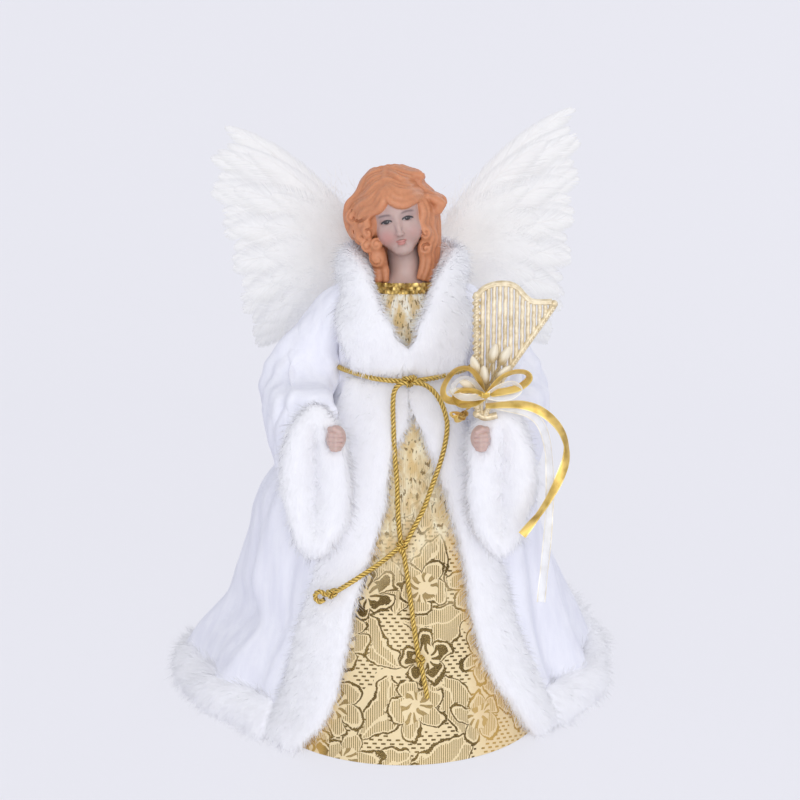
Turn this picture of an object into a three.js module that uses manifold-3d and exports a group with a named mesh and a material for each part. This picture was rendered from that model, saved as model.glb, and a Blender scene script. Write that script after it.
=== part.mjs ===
// Angel tree topper: a hollow card cone dressed in brocade, a porcelain bust with moulded hair,
// a velvet robe edged with fur, two bendable wire arms and two feather wings on wire roots.
// Millimetres, +Z up. The cone stands on the XY plane, its axis is Z, and the angel faces -Y.
// Angles round the cone are in degrees from the front, positive towards +X.

import * as THREE from 'three';
import { mergeVertices } from 'three/addons/utils/BufferGeometryUtils.js';
import Module from 'manifold-3d';

const wasm = await Module();
wasm.setup();

// Clearances and cloth
const SEAT = 0.3;
const BROCADE = 0.8;
const VELVET = 1.1;
const BODICE_EASE = 1;
const BELT_EASE = 1;

// Card cone
const CONE_HEIGHT = 186;
const CONE_BASE_RADIUS = 76.8;
const CONE_TOP_RADIUS = 25.8;
const CONE_WALL = 1.2;
const CONE_SIDES = 40;

// Torso and bust, heights above the cone's top
const TORSO_HEIGHT = 40;
const TORSO_HALF_WIDTH = 24;
const TORSO_HALF_DEPTH = 17;
const PLATE_HEIGHT = 17;
const NECK_RADIUS = 8.5;
const CHIN_RISE = 68;
const HEAD_TOP_RISE = 114;
const HEAD_ROLL = -9;
const TRIM_HEIGHT = 6;
const TRIM_THICKNESS = 2.4;

// Robe
const WAIST_RISE = 9;
const WAIST_HALF_WIDTH = 36;
const WAIST_HALF_DEPTH = 31;
const SIDE_SEAM = 95;
const HEM_FUR_HEIGHT = 23;
const HEM_FUR_DEPTH = 18;
const ROBE_FLARE = 1.08;
const ROBE_SETBACK = 4;
const ROBE_OVER_HEM = 1.4;
const ROBE_BACK_RISE = 50;

// Fur bands
const FRONT_FUR_THICKNESS = 13;
const COLLAR_THICKNESS = 12.5;
const CUFF_THICKNESS = 16;
const CUFF_FUR_WIDTH = 17;

// Arms, measured from the shoulder pivot
const SHOULDER_HALF = 27;
const SHOULDER_RISE = 42;
const SLEEVE_HEAD_RADIUS = 12;
const RIGHT_ARM_SWING = -1.5;
const LEFT_ARM_SWING = 3.5;
const ARM_WIRE = 2.4;
const WIRE_CLEARANCE = 0.5;
const CUFF_HALF_WIDTH = 10.5;
const CUFF_HALF_HEIGHT = 36;
const CUFF_CENTRE = [18, -60, -81];
const HAND_CENTRE = [7.5, -69, -57];
const HAND_LENGTH = 13;
const HAND_CLEARANCE = 0.5;

// Wings, measured from the root of each wire
const WING_ROOT_HALF = 12;
const WING_RISE = 50;
const WING_PAD_DEPTH = 5;
const WING_PAD_HALF_HEIGHT = 19;
const WING_PAD_DROP = 14;
const WING_WIRE = 1.6;
const FEATHER_THICKNESS = 1.1;
const FEATHER_WIDTH = 26;
const FEATHER_CURL = -10;
const COVERT_WIDTH = 32;
const COVERTS = 4;
const DOWN_THICKNESS = 5;

// Cord and ribbon
const CORD = 2.2;
const BELT_DROOP = 1.6;
const BELT_STAND_OFF = 8;
const BELT_KNOT_HALF_WIDTH = 4.2;
const RIBBON_WIDTH = 4.4;
const RIBBON_THICKNESS = 0.6;

// Harp and buds
const HARP_THICKNESS = 2.6;
const HARP_BORDER = 2.4;
const HARP_COLUMN = 3.8;
const HARP_FOOT = 6;
const HARP_STRINGS = 11;
const STRING_WIDTH = 0.9;
const BUD_LENGTH = 9.5;
const BUD_RADIUS = 2.3;
const STEM_RADIUS = 0.45;

const WAIST = CONE_HEIGHT + WAIST_RISE;
const SHOULDER = CONE_HEIGHT + SHOULDER_RISE;
const ARMHOLE = SHOULDER - SLEEVE_HEAD_RADIUS - SEAT;

const topper = new THREE.Group();

const FINISHES = {
  card: { color: 0xb9a98a, roughness: 0.9, metalness: 0 },
  brocade: { color: 0xdfc99a, roughness: 0.45, metalness: 0.5 },
  gold: { color: 0xc9a43a, roughness: 0.35, metalness: 0.7 },
  paleGold: { color: 0xd9c695, roughness: 0.4, metalness: 0.5 },
  foam: { color: 0xe6e2da, roughness: 0.9, metalness: 0 },
  porcelain: { color: 0xd3a48f, roughness: 0.6, metalness: 0 },
  velvet: { color: 0xe9eaf6, roughness: 0.85, metalness: 0 },
  fur: { color: 0xeeeef2, roughness: 0.95, metalness: 0 },
  feather: { color: 0xf2f0ec, roughness: 0.85, metalness: 0 },
  wire: { color: 0xb8b8b4, roughness: 0.4, metalness: 0.8 },
  bud: { color: 0xf0e8d2, roughness: 0.5, metalness: 0 },
  sheer: { color: 0xf4f4f4, roughness: 0.5, metalness: 0 },
};

function add(name, geometry, finish) {
  const mesh = new THREE.Mesh(geometry, new THREE.MeshStandardMaterial(FINISHES[finish]));
  mesh.name = name;
  topper.add(mesh);
}

// Closed bodies from points

function bodyFrom(vertices, triangles) {
  const geometry = new THREE.BufferGeometry();
  const positions = vertices.flatMap((point) => [point.x, point.y, point.z]);
  geometry.setAttribute('position', new THREE.Float32BufferAttribute(positions, 3));
  geometry.setIndex(triangles);
  let volume = 0;
  for (let i = 0; i < triangles.length; i += 3) {
    const [a, b, c] = [0, 1, 2].map((k) => vertices[triangles[i + k]]);
    volume += a.dot(new THREE.Vector3().crossVectors(b, c));
  }
  if (volume < 0) {
    const turned = [];
    for (let i = 0; i < triangles.length; i += 3) {
      turned.push(triangles[i], triangles[i + 2], triangles[i + 1]);
    }
    geometry.setIndex(turned);
  }
  geometry.computeVertexNormals();
  return geometry;
}

function joinRings(rings, triangles, from, to) {
  const count = rings[0].length;
  for (let k = 0; k < count; k += 1) {
    const next = (k + 1) % count;
    const [a, b] = [from * count + k, from * count + next];
    const [c, d] = [to * count + k, to * count + next];
    triangles.push(a, b, d, a, d, c);
  }
}

// A body through a row of rings, closed by a fan at each end
function loft(rings) {
  const vertices = rings.flat();
  const triangles = [];
  const count = rings[0].length;
  for (let i = 0; i + 1 < rings.length; i += 1) {
    joinRings(rings, triangles, i, i + 1);
  }
  for (const end of [0, rings.length - 1]) {
    const centre = new THREE.Vector3();
    rings[end].forEach((point) => centre.addScaledVector(point, 1 / count));
    const apex = vertices.push(centre) - 1;
    for (let k = 0; k < count; k += 1) {
      const [a, b] = [end * count + k, end * count + ((k + 1) % count)];
      triangles.push(...(end === 0 ? [apex, b, a] : [apex, a, b]));
    }
  }
  return bodyFrom(vertices, triangles);
}

// A body whose row of rings comes back to its start
function hoop(rings) {
  const triangles = [];
  for (let i = 0; i < rings.length; i += 1) {
    joinRings(rings, triangles, i, (i + 1) % rings.length);
  }
  return bodyFrom(rings.flat(), triangles);
}

// A tube wall between an outer and an inner row of rings, open at both ends
function shell(outer, inner) {
  const rings = [...outer, ...inner];
  const rows = outer.length;
  const triangles = [];
  const inside = [];
  for (let i = 0; i + 1 < rows; i += 1) {
    joinRings(rings, triangles, i, i + 1);
    joinRings(rings, inside, rows + i, rows + i + 1);
  }
  for (let i = 0; i < inside.length; i += 3) {
    triangles.push(inside[i], inside[i + 2], inside[i + 1]);
  }
  joinRings(rings, triangles, rows - 1, 2 * rows - 1);
  joinRings(rings, triangles, rows, 0);
  return bodyFrom(rings.flat(), triangles);
}

// A thin sheet between an outer and an inner grid of points
function sheet(columns, rows, outerAt, innerAt) {
  const vertices = [];
  const triangles = [];
  const stride = rows + 1;
  for (const at of [outerAt, innerAt]) {
    for (let i = 0; i <= columns; i += 1) {
      for (let j = 0; j <= rows; j += 1) {
        vertices.push(at(i / columns, j / rows));
      }
    }
  }
  const inner = (columns + 1) * stride;
  const quad = (a, b, c, d) => triangles.push(a, b, c, a, c, d);
  for (let i = 0; i < columns; i += 1) {
    for (let j = 0; j < rows; j += 1) {
      const a = i * stride + j;
      quad(a, a + stride, a + stride + 1, a + 1);
      quad(inner + a, inner + a + 1, inner + a + stride + 1, inner + a + stride);
    }
  }
  for (let i = 0; i < columns; i += 1) {
    const low = i * stride;
    const high = low + rows;
    quad(low, inner + low, inner + low + stride, low + stride);
    quad(high, high + stride, inner + high + stride, inner + high);
  }
  for (let j = 0; j < rows; j += 1) {
    const last = columns * stride + j;
    quad(j, j + 1, inner + j + 1, inner + j);
    quad(last, inner + last, inner + last + 1, last + 1);
  }
  return bodyFrom(vertices, triangles);
}

function ovalRing(centre, across, up, count) {
  const ring = [];
  for (let k = 0; k < count; k += 1) {
    const turn = (2 * Math.PI * k) / count;
    const point = centre.clone().addScaledVector(across, Math.cos(turn));
    ring.push(point.addScaledVector(up, Math.sin(turn)));
  }
  return ring;
}

function tube(points, diameter, steps, sides = 8) {
  const outline = new THREE.Shape();
  for (let k = 0; k < sides; k += 1) {
    const turn = (2 * Math.PI * k) / sides;
    const spot = [(diameter / 2) * Math.cos(turn), (diameter / 2) * Math.sin(turn)];
    if (k === 0) {
      outline.moveTo(...spot);
    } else {
      outline.lineTo(...spot);
    }
  }
  outline.closePath();
  const path = new THREE.CatmullRomCurve3(points.map((point) => new THREE.Vector3(...point)));
  return new THREE.ExtrudeGeometry(outline, { steps, extrudePath: path, curveSegments: 1 });
}

function ellipsoid(centre, radii, around = 8, down = 6) {
  const geometry = new THREE.SphereGeometry(1, around, down);
  geometry.scale(...radii);
  geometry.translate(...centre);
  return geometry;
}

// Joins and cuts

function solid(geometry) {
  const bare = geometry.clone();
  bare.deleteAttribute('normal');
  bare.deleteAttribute('uv');
  const merged = mergeVertices(bare, 1e-4);
  const vertProperties = new Float32Array(merged.attributes.position.array);
  const triVerts = new Uint32Array(merged.index.array);
  return new wasm.Manifold(new wasm.Mesh({ numProp: 3, vertProperties, triVerts }));
}

function geometryOf(manifold) {
  const mesh = manifold.getMesh();
  const geometry = new THREE.BufferGeometry();
  geometry.setAttribute('position', new THREE.Float32BufferAttribute(mesh.vertProperties, 3));
  geometry.setIndex(Array.from(mesh.triVerts));
  geometry.computeVertexNormals();
  return geometry;
}

function joined(geometries) {
  return geometries.map(solid).reduce((whole, piece) => whole.add(piece));
}

// Shapes shared by the layers of the figure

const radians = (degrees) => (degrees * Math.PI) / 180;
const mix = (a, b, t) => a + (b - a) * t;
const clamp01 = (t) => Math.min(1, Math.max(0, t));
const smooth = (t) => clamp01(t) ** 2 * (3 - 2 * clamp01(t));

function polar(angle, radius, z) {
  const turn = radians(angle);
  return new THREE.Vector3(radius * Math.sin(turn), -radius * Math.cos(turn), z);
}

function ellipseRadius(angle, halfWidth, halfDepth) {
  const turn = radians(angle);
  return 1 / Math.hypot(Math.sin(turn) / halfWidth, Math.cos(turn) / halfDepth);
}

// A smooth line through [position, ...values] rows, eased between neighbours
function alongRows(rows, position) {
  const last = rows.length - 1;
  const rising = rows[last][0] > rows[0][0];
  let k = 0;
  while (k < last - 1 && (rising ? position > rows[k + 1][0] : position < rows[k + 1][0])) {
    k += 1;
  }
  const t = clamp01((position - rows[k][0]) / (rows[k + 1][0] - rows[k][0]));
  return rows[k].slice(1).map((value, i) => mix(value, rows[k + 1][i + 1], t));
}

const coneSlope = (CONE_BASE_RADIUS - CONE_TOP_RADIUS) / CONE_HEIGHT;
const coneRadius = (z) => CONE_BASE_RADIUS - coneSlope * z;
const skirtRadius = (z) => coneRadius(z) + SEAT + BROCADE;

// Where the robe's fur hem lies on the floor: angle, outermost radius
const HEM_PLAN = [
  [-180, 130], [-160, 136], [-140, 142], [-122, 146], [-107, 142], [-93, 128], [-81, 111],
  [-69, 98], [-55, 90], [-40, 86], [40, 86], [55, 86], [66, 89], [76, 97], [86, 107],
  [96, 118], [108, 128], [122, 140], [136, 152], [150, 148], [165, 136], [180, 130],
];
// Long folds of the robe: angle, depth at the floor, half width
const ROBE_FOLDS = [
  [-70, -4, 5], [-80, 5, 6], [-93, -6, 7], [-107, 5, 8], [-124, -6, 8], [-141, 6, 8], [-158, -6, 8],
  [-175, 6, 8], [168, -6, 8], [152, 6, 8], [134, -6, 8], [116, 5, 8], [101, -6, 6], [90, 6, 5], [80, -5, 5],
];
// The hem is bunched up at the back on the angel's left
const BUNCH_ANGLE = 133;
const BUNCH_HALF_ANGLE = 24;
const BUNCH_LIFT = 30;
// Upper robe over shoulders and back: height above the cone, half width, half depth
const ROBE_TOP = [
  [WAIST_RISE, WAIST_HALF_WIDTH, WAIST_HALF_DEPTH], [30, 36, 30], [45, 33, 27], [54, 28, 23], [70, 21, 19],
];

const hemOuter = (angle) => alongRows(HEM_PLAN, angle)[0];
const hemInnermost = skirtRadius(0) + SEAT;
const hemHalfDepth = (angle) => Math.min(HEM_FUR_DEPTH, hemOuter(angle) - hemInnermost) / 2;

function hemLift(angle) {
  return BUNCH_LIFT * (1 - smooth(Math.abs(angle - BUNCH_ANGLE) / BUNCH_HALF_ANGLE));
}

function foldDepth(angle) {
  let depth = 0;
  for (const [centre, height, halfWidth] of ROBE_FOLDS) {
    const away = Math.abs(((angle - centre + 540) % 360) - 180);
    depth += height * Math.exp(-((away / halfWidth) ** 2));
  }
  return depth;
}

// Outer radius of the robe at any angle and height
function robeRadius(angle, z) {
  if (z >= WAIST) {
    const [halfWidth, halfDepth] = alongRows(ROBE_TOP, z - CONE_HEIGHT);
    return ellipseRadius(angle, halfWidth, halfDepth);
  }
  const drop = ((WAIST - z) / WAIST) ** ROBE_FLARE;
  const waist = ellipseRadius(angle, WAIST_HALF_WIDTH, WAIST_HALF_DEPTH);
  return mix(waist, hemOuter(angle) - ROBE_SETBACK, drop) + foldDepth(angle) * drop;
}

// Cone and skirt

function lathe(profile) {
  const geometry = new THREE.LatheGeometry(profile.map((spot) => new THREE.Vector2(...spot)), CONE_SIDES);
  return geometry.rotateX(Math.PI / 2);
}

function coneBase() {
  const lid = CONE_HEIGHT - CONE_WALL;
  return lathe([
    [0, lid], [coneRadius(lid) - CONE_WALL, lid], [CONE_BASE_RADIUS - CONE_WALL, 0],
    [CONE_BASE_RADIUS, 0], [CONE_TOP_RADIUS, CONE_HEIGHT], [0, CONE_HEIGHT],
  ]);
}

function skirt() {
  const inner = (z) => coneRadius(z) + SEAT;
  return lathe([
    [inner(SEAT), SEAT], [skirtRadius(SEAT), SEAT], [skirtRadius(CONE_HEIGHT), CONE_HEIGHT],
    [inner(CONE_HEIGHT), CONE_HEIGHT], [inner(SEAT), SEAT],
  ]);
}

// Torso, bodice and neckline

const TORSO_PROFILE = [
  [SEAT, TORSO_HALF_WIDTH - 1, TORSO_HALF_DEPTH + 1], [13, TORSO_HALF_WIDTH - 3, TORSO_HALF_DEPTH - 1],
  [28, TORSO_HALF_WIDTH, TORSO_HALF_DEPTH], [TORSO_HEIGHT, TORSO_HALF_WIDTH - 1, TORSO_HALF_DEPTH - 1],
];

function levelRing(z, halfWidth, halfDepth, count) {
  const across = new THREE.Vector3(halfWidth, 0, 0);
  const deep = new THREE.Vector3(0, halfDepth, 0);
  return ovalRing(new THREE.Vector3(0, 0, z), across, deep, count);
}

function torsoForm() {
  const ring = ([rise, halfWidth, halfDepth]) => levelRing(CONE_HEIGHT + rise, halfWidth, halfDepth, 24);
  return loft(TORSO_PROFILE.map(ring));
}

// Half sizes of what the bodice covers, at a height above the cone
const PLATE_PROFILE = [
  [TORSO_HEIGHT + SEAT, TORSO_HALF_WIDTH - 1, TORSO_HALF_DEPTH - 1],
  [TORSO_HEIGHT + 6, TORSO_HALF_WIDTH - 3, TORSO_HALF_DEPTH - 1.5],
  [TORSO_HEIGHT + PLATE_HEIGHT - 5, TORSO_HALF_WIDTH - 8, TORSO_HALF_DEPTH - 4],
  [TORSO_HEIGHT + PLATE_HEIGHT, NECK_RADIUS + 2, NECK_RADIUS + 2],
];
const UNDER_BODICE = [...TORSO_PROFILE.slice(0, 3), ...PLATE_PROFILE];
const TRIM_RISE = TORSO_HEIGHT + 8;
const BODICE_SIDES = 28;

function bodice() {
  const levels = 5;
  const section = (angle) => {
    const armhole = Math.sin(radians(angle)) ** 4;
    const top = mix(TRIM_RISE - SEAT, TORSO_HEIGHT - 8, armhole);
    const spot = (level, offset) => {
      const rise = mix(3, top, level / (levels - 1));
      const [halfWidth, halfDepth] = alongRows(UNDER_BODICE, rise);
      const radius = ellipseRadius(angle, halfWidth, halfDepth) + BODICE_EASE + offset;
      return polar(angle, radius, CONE_HEIGHT + rise);
    };
    const outer = [...Array(levels).keys()].map((level) => spot(level, BROCADE));
    const inner = [...Array(levels).keys()].reverse().map((level) => spot(level, 0));
    return [...outer, ...inner];
  };
  const rings = [];
  for (let k = 0; k < BODICE_SIDES; k += 1) {
    rings.push(section((360 * k) / BODICE_SIDES));
  }
  return hoop(rings);
}

function necklineTrim() {
  const rings = [];
  for (let k = 0; k < BODICE_SIDES; k += 1) {
    const angle = (360 * k) / BODICE_SIDES;
    const [halfWidth, halfDepth] = alongRows(PLATE_PROFILE, TRIM_RISE);
    const seat = ellipseRadius(angle, halfWidth, halfDepth) + SEAT;
    const low = CONE_HEIGHT + TRIM_RISE;
    rings.push([
      polar(angle, seat, low), polar(angle, seat + TRIM_THICKNESS, low),
      polar(angle, seat + TRIM_THICKNESS - 0.6, low + TRIM_HEIGHT), polar(angle, seat, low + TRIM_HEIGHT),
    ]);
  }
  return hoop(rings);
}

// Porcelain bust: shoulder plate, neck, face and moulded hair in one firing

function porcelainBust() {
  const base = CONE_HEIGHT;
  const chin = base + CHIN_RISE;
  const crown = base + HEAD_TOP_RISE;
  const plate = loft(PLATE_PROFILE.map(([rise, w, d]) => levelRing(base + rise, w, d, 24)));
  const neckRings = [];
  for (const z of [base + TORSO_HEIGHT + PLATE_HEIGHT - 3, chin + 8]) {
    neckRings.push(levelRing(z, NECK_RADIUS, NECK_RADIUS, 16));
  }
  const headHeight = crown - chin;
  const capRadius = headHeight * 0.5;
  const middle = crown - capRadius;
  const face = ellipsoid([0, -9, chin + 18.5], [14.5, 13, 18.5], 14, 10);
  const nose = ellipsoid([0, -22, chin + 15], [2, 2.6, 3.6], 6, 4);
  const cap = ellipsoid([-3, 3, middle], [25, 23, capRadius], 16, 10);
  const locks = [
    ellipsoid([-20, -8, chin + 17], [9.5, 9, 11]),
    ellipsoid([-16, -7, chin + 3], [6.5, 6.5, 8]),
    ellipsoid([-12, -13, chin + 34], [12, 9, 8]),
    ellipsoid([9, -14, chin + 34], [12, 8.5, 7.5]),
    ellipsoid([18, -4, chin + 13], [6, 8, 19]),
    ellipsoid([15, -6, chin - 4], [4.5, 5.5, 8]),
    ellipsoid([22, 0, chin + 25], [5.5, 6, 5]),
    ellipsoid([0, 10, chin + 18], [19, 11, 18]),
  ];
  const upright = joined([face, nose, cap, ...locks]);
  const head = upright.translate([0, 0, -chin]).rotate([0, HEAD_ROLL, 0]).translate([0, 0, chin]);
  return geometryOf(head.add(solid(loft(neckRings))).add(solid(plate)));
}

// Robe

// Rows of a velvet panel below and above the belt
const LOWER_ROWS = 7;
const UPPER_ROWS = 2;

const wrapped = (angle) => (angle > 180 ? angle - 360 : angle);

function velvetPanel(columns, angleAt, topAt) {
  const rows = LOWER_ROWS + UPPER_ROWS;
  const share = LOWER_ROWS / rows;
  const spot = (inset) => (u, v) => {
    const nominal = wrapped(angleAt(u, mix(HEM_FUR_HEIGHT, WAIST, Math.min(1, v / share))));
    const lower = mix(robeBottom(nominal), WAIST, v / share);
    const upper = mix(WAIST, topAt(nominal), (v - share) / (1 - share));
    const z = v <= share ? lower : upper;
    const angle = wrapped(angleAt(u, z));
    return polar(angle, robeRadius(angle, z) - inset, z);
  };
  return sheet(columns, rows, spot(0), spot(VELVET));
}

const hemHeight = (angle) => HEM_FUR_HEIGHT + hemLift(angle);
const robeBottom = (angle) => hemHeight(angle) + ROBE_OVER_HEM;

// Front fur bands: height, angle of the middle, half width
const RIGHT_FRONT_FUR = [
  [2.4, -49, 15.5], [14, -48, 15.5], [37, -44, 15.5], [70, -38, 15.5], [100, -32, 15], [125, -27, 14],
  [147, -24, 13], [170, -23.5, 11], [WAIST - 3.5, -24, 9],
];
const LEFT_FRONT_FUR = [
  [2.4, 65, 12.5], [14, 61, 12.5], [35, 53, 12.5], [60, 49, 12], [87, 46, 11.5], [107, 43, 11],
  [127, 39, 11], [150, 32, 10.5], [170, 26, 10], [WAIST - 3.5, 24, 9],
];

function frontFurMiddle(z) {
  const thickness = FRONT_FUR_THICKNESS * mix(1, 0.7, smooth((z - 150) / 40));
  return { thickness, radius: skirtRadius(z) + SEAT + thickness / 2 + 0.3 };
}

function frontFur(rows) {
  const tilt = Math.atan(coneSlope);
  const rings = rows.map(([z, angle, halfWidth]) => {
    const { thickness, radius } = frontFurMiddle(z);
    const turn = radians(angle);
    const across = new THREE.Vector3(Math.cos(turn), Math.sin(turn), 0).multiplyScalar(halfWidth);
    const outward = polar(angle, Math.cos(tilt), Math.sin(tilt)).multiplyScalar(thickness / 2);
    return ovalRing(polar(angle, radius, z), across, outward, 12);
  });
  return loft(rings);
}

// Angle at which the robe starts behind a front fur band
function robeFrontAngle(rows, z) {
  const [angle, halfWidth] = alongRows(rows, z);
  const reach = halfWidth + 2 * SEAT;
  const away = (Math.asin(Math.min(0.9, reach / frontFurMiddle(Math.min(z, WAIST)).radius)) * 180) / Math.PI;
  return angle + Math.sign(angle) * away;
}

function seamAngle(side, z) {
  return side * (SIDE_SEAM - (SEAT / 2 / robeRadius(SIDE_SEAM, z)) * (180 / Math.PI));
}

function robeFront(side, furRows) {
  const angleAt = (u, z) => mix(robeFrontAngle(furRows, z), seamAngle(side, z), u);
  return velvetPanel(13, angleAt, () => ARMHOLE);
}

function robeBack() {
  const angleAt = (u, z) => {
    const edge = 2 * SIDE_SEAM - seamAngle(1, z);
    return mix(edge, 360 - edge, u);
  };
  const topAt = (angle) => {
    const backwards = smooth((Math.abs(angle) - SIDE_SEAM) / 50);
    return mix(ARMHOLE, CONE_HEIGHT + ROBE_BACK_RISE, backwards);
  };
  return velvetPanel(26, angleAt, topAt);
}

// Fur hem: one strip round the robe from front band to front band

function hemFur() {
  const start = robeFrontAngle(LEFT_FRONT_FUR, 8) + 2;
  const finish = robeFrontAngle(RIGHT_FRONT_FUR, 8) + 360 - 2;
  const rings = [];
  const steps = 40;
  for (let k = 0; k <= steps; k += 1) {
    const angle = wrapped(mix(start, finish, k / steps));
    const ends = Math.min(1, 0.5 + 0.3 * Math.min(k, steps - k));
    const half = hemHalfDepth(angle) * ends;
    const top = robeRadius(angle, robeBottom(angle)) - VELVET / 2;
    const foot = hemOuter(angle) - half;
    const rise = hemHeight(angle) / 2;
    const slope = new THREE.Vector2((top - foot) / 2, rise);
    const middle = Math.max((top + foot) / 2, hemInnermost + half);
    const up = polar(angle, slope.x, rise);
    const outward = polar(angle, half * (rise / slope.length()), -half * (slope.x / slope.length()));
    const ring = ovalRing(polar(angle, middle, rise), outward, up, 10);
    const lid = hemHeight(angle);
    rings.push(ring.map((point) => point.setZ(Math.min(lid, Math.max(point.z, SEAT)))));
  }
  return loft(rings);
}

// Fur collar: one strip from the belt up round the neck and down to the belt

// Angle, height above the cone and half width of the collar's middle line
const COLLAR_ROUTE = [
  [-20, 12, 11], [-22, 17.5, 14], [-27, 24, 14.5], [-34, 33, 13.5], [-44, 45, 12], [-58, 56, 10.5],
  [-88, 62, 9.5], [-128, 63, 9], [180, 63, 9], [128, 63, 9], [88, 62, 9.5], [58, 56, 10.5],
  [45, 45, 12], [37, 33, 14], [31, 24, 14.5], [27, 17.5, 14], [26, 12, 11],
];

function collarMiddle([angle, rise, halfWidth]) {
  const cinch = mix(0.55, 1, smooth((rise - 15) / 18));
  const thickness = COLLAR_THICKNESS * cinch;
  const radius = robeRadius(angle, CONE_HEIGHT + rise) + SEAT + thickness / 2 + 0.4;
  return { centre: polar(angle, radius, CONE_HEIGHT + rise), thickness, halfWidth, angle };
}

function furCollar() {
  const spots = COLLAR_ROUTE.map(collarMiddle);
  const line = new THREE.CatmullRomCurve3(spots.map((spot) => spot.centre));
  const rings = [];
  const steps = 26;
  for (let k = 0; k <= steps; k += 1) {
    const t = k / steps;
    const place = t * (spots.length - 1);
    const low = Math.min(Math.floor(place), spots.length - 2);
    const centre = line.getPoint(t);
    const forward = line.getTangent(t);
    const part = place - low;
    const thickness = mix(spots[low].thickness, spots[low + 1].thickness, part);
    const halfWidth = mix(spots[low].halfWidth, spots[low + 1].halfWidth, part);
    const outward = new THREE.Vector3(centre.x, centre.y, 0).normalize();
    outward.addScaledVector(forward, -outward.dot(forward)).normalize();
    const across = new THREE.Vector3().crossVectors(forward, outward);
    const ends = Math.min(1, 0.45 + 0.55 * Math.min(k, steps - k));
    const wide = across.multiplyScalar(halfWidth * ends);
    rings.push(ovalRing(centre, wide, outward.multiplyScalar((thickness / 2) * ends), 10));
  }
  return loft(rings);
}

// Arms: wire, sleeve, fur cuff and hand, written for +X and mirrored by side

const RIGHT = -1;
const LEFT = 1;

// Each arm is bent outwards by its own swing, which grows from the shoulder to the cuff
function mirrored(side, [x, y, z]) {
  const swing = (side === LEFT ? LEFT_ARM_SWING : RIGHT_ARM_SWING) * clamp01(y / CUFF_CENTRE[1]);
  return [side * (SHOULDER_HALF + x + swing), y, SHOULDER + z];
}

const WIRE_START = TORSO_HALF_WIDTH - 1 + SEAT - SHOULDER_HALF;
const ARM_ROUTE = [
  [WIRE_START, 0, 0], [7, 0, 0], [15, -1, -5], [28, -8, -32], [31, -17, -50], [24, -36, -59],
  [HAND_CENTRE[0] + 5.5, HAND_CENTRE[1] + 15, HAND_CENTRE[2] - 1],
  [HAND_CENTRE[0], HAND_CENTRE[1] + 2, HAND_CENTRE[2]],
];

// Sleeve stations: centre, then half axes towards the opening's top and towards its outer edge
const SLEEVE_STATIONS = [
  {
    centre: [WAIST_HALF_WIDTH + SEAT - SHOULDER_HALF, 0, 0],
    up: [0, -0.93 * SLEEVE_HEAD_RADIUS, 0.36 * SLEEVE_HEAD_RADIUS],
    outer: [0, 0.36 * SLEEVE_HEAD_RADIUS, 0.93 * SLEEVE_HEAD_RADIUS],
  },
  { centre: [18, -1, -5], up: [2.2, -12.9, 5], outer: [5.3, 5.6, 12] },
  { centre: [30, -4, -26], up: [6.9, -14, 3.4], outer: [12.4, 8.3, 8.9] },
  { centre: [33, -14, -46], up: [2, -14.4, 10.6], outer: [15.8, 3.4, 1.6] },
  { centre: [28, -34, -66], up: [0, -12.9, 27], outer: [16.5, 1, 0] },
  {
    centre: [CUFF_CENTRE[0], CUFF_CENTRE[1] + CUFF_THICKNESS / 2 + SEAT, CUFF_CENTRE[2]],
    up: [0, 0, CUFF_HALF_HEIGHT + VELVET / 2],
    outer: [CUFF_HALF_WIDTH + VELVET / 2, 0, 0],
  },
];
const SLEEVE_RINGS = 14;
const SLEEVE_SIDES = 14;

function sleeveRings(side, inset) {
  const lineOf = (key) => {
    return new THREE.CatmullRomCurve3(SLEEVE_STATIONS.map((station) => new THREE.Vector3(...station[key])));
  };
  const [centres, ups, outers] = ['centre', 'up', 'outer'].map(lineOf);
  const rings = [];
  for (let k = 0; k <= SLEEVE_RINGS; k += 1) {
    const t = k / SLEEVE_RINGS;
    const shrink = (vector) => vector.setLength(vector.length() - inset);
    const [outer, up] = [outers, ups].map((line) => shrink(line.getPoint(t)));
    const ring = ovalRing(centres.getPoint(t), outer, up, SLEEVE_SIDES);
    rings.push(ring.map((p) => new THREE.Vector3(...mirrored(side, [p.x, p.y, p.z]))));
  }
  return rings;
}

function sleeve(side) {
  return shell(sleeveRings(side, 0), sleeveRings(side, VELVET));
}

function handSolid(side, grow) {
  const [x, y, z] = HAND_CENTRE;
  const at = (dx, dy, dz) => mirrored(side, [x + dx, y + dy, z + dz]);
  const half = HAND_LENGTH / 2;
  const pieces = [
    ellipsoid(at(0, 0, 0), [5.2 + grow, half - 1 + grow, half + grow], 10, 6),
    ellipsoid(at(-3, -2.5, -4), [2.6 + grow, 2.6 + grow, 3.6 + grow], 6, 4),
  ];
  for (const step of [-1, 0, 1]) {
    pieces.push(ellipsoid(at(step * 2.6, -4.5, 1), [1.6 + grow, 2.2 + grow, 4.6 + grow], 6, 4));
  }
  return joined(pieces);
}

// A tube along the arm that ends a clearance past the wire's end in the hand
function alongArm(side, diameter, past) {
  const route = ARM_ROUTE.map((spot) => mirrored(side, spot));
  route[route.length - 1][1] -= past;
  return tube(route, diameter, 16);
}

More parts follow.
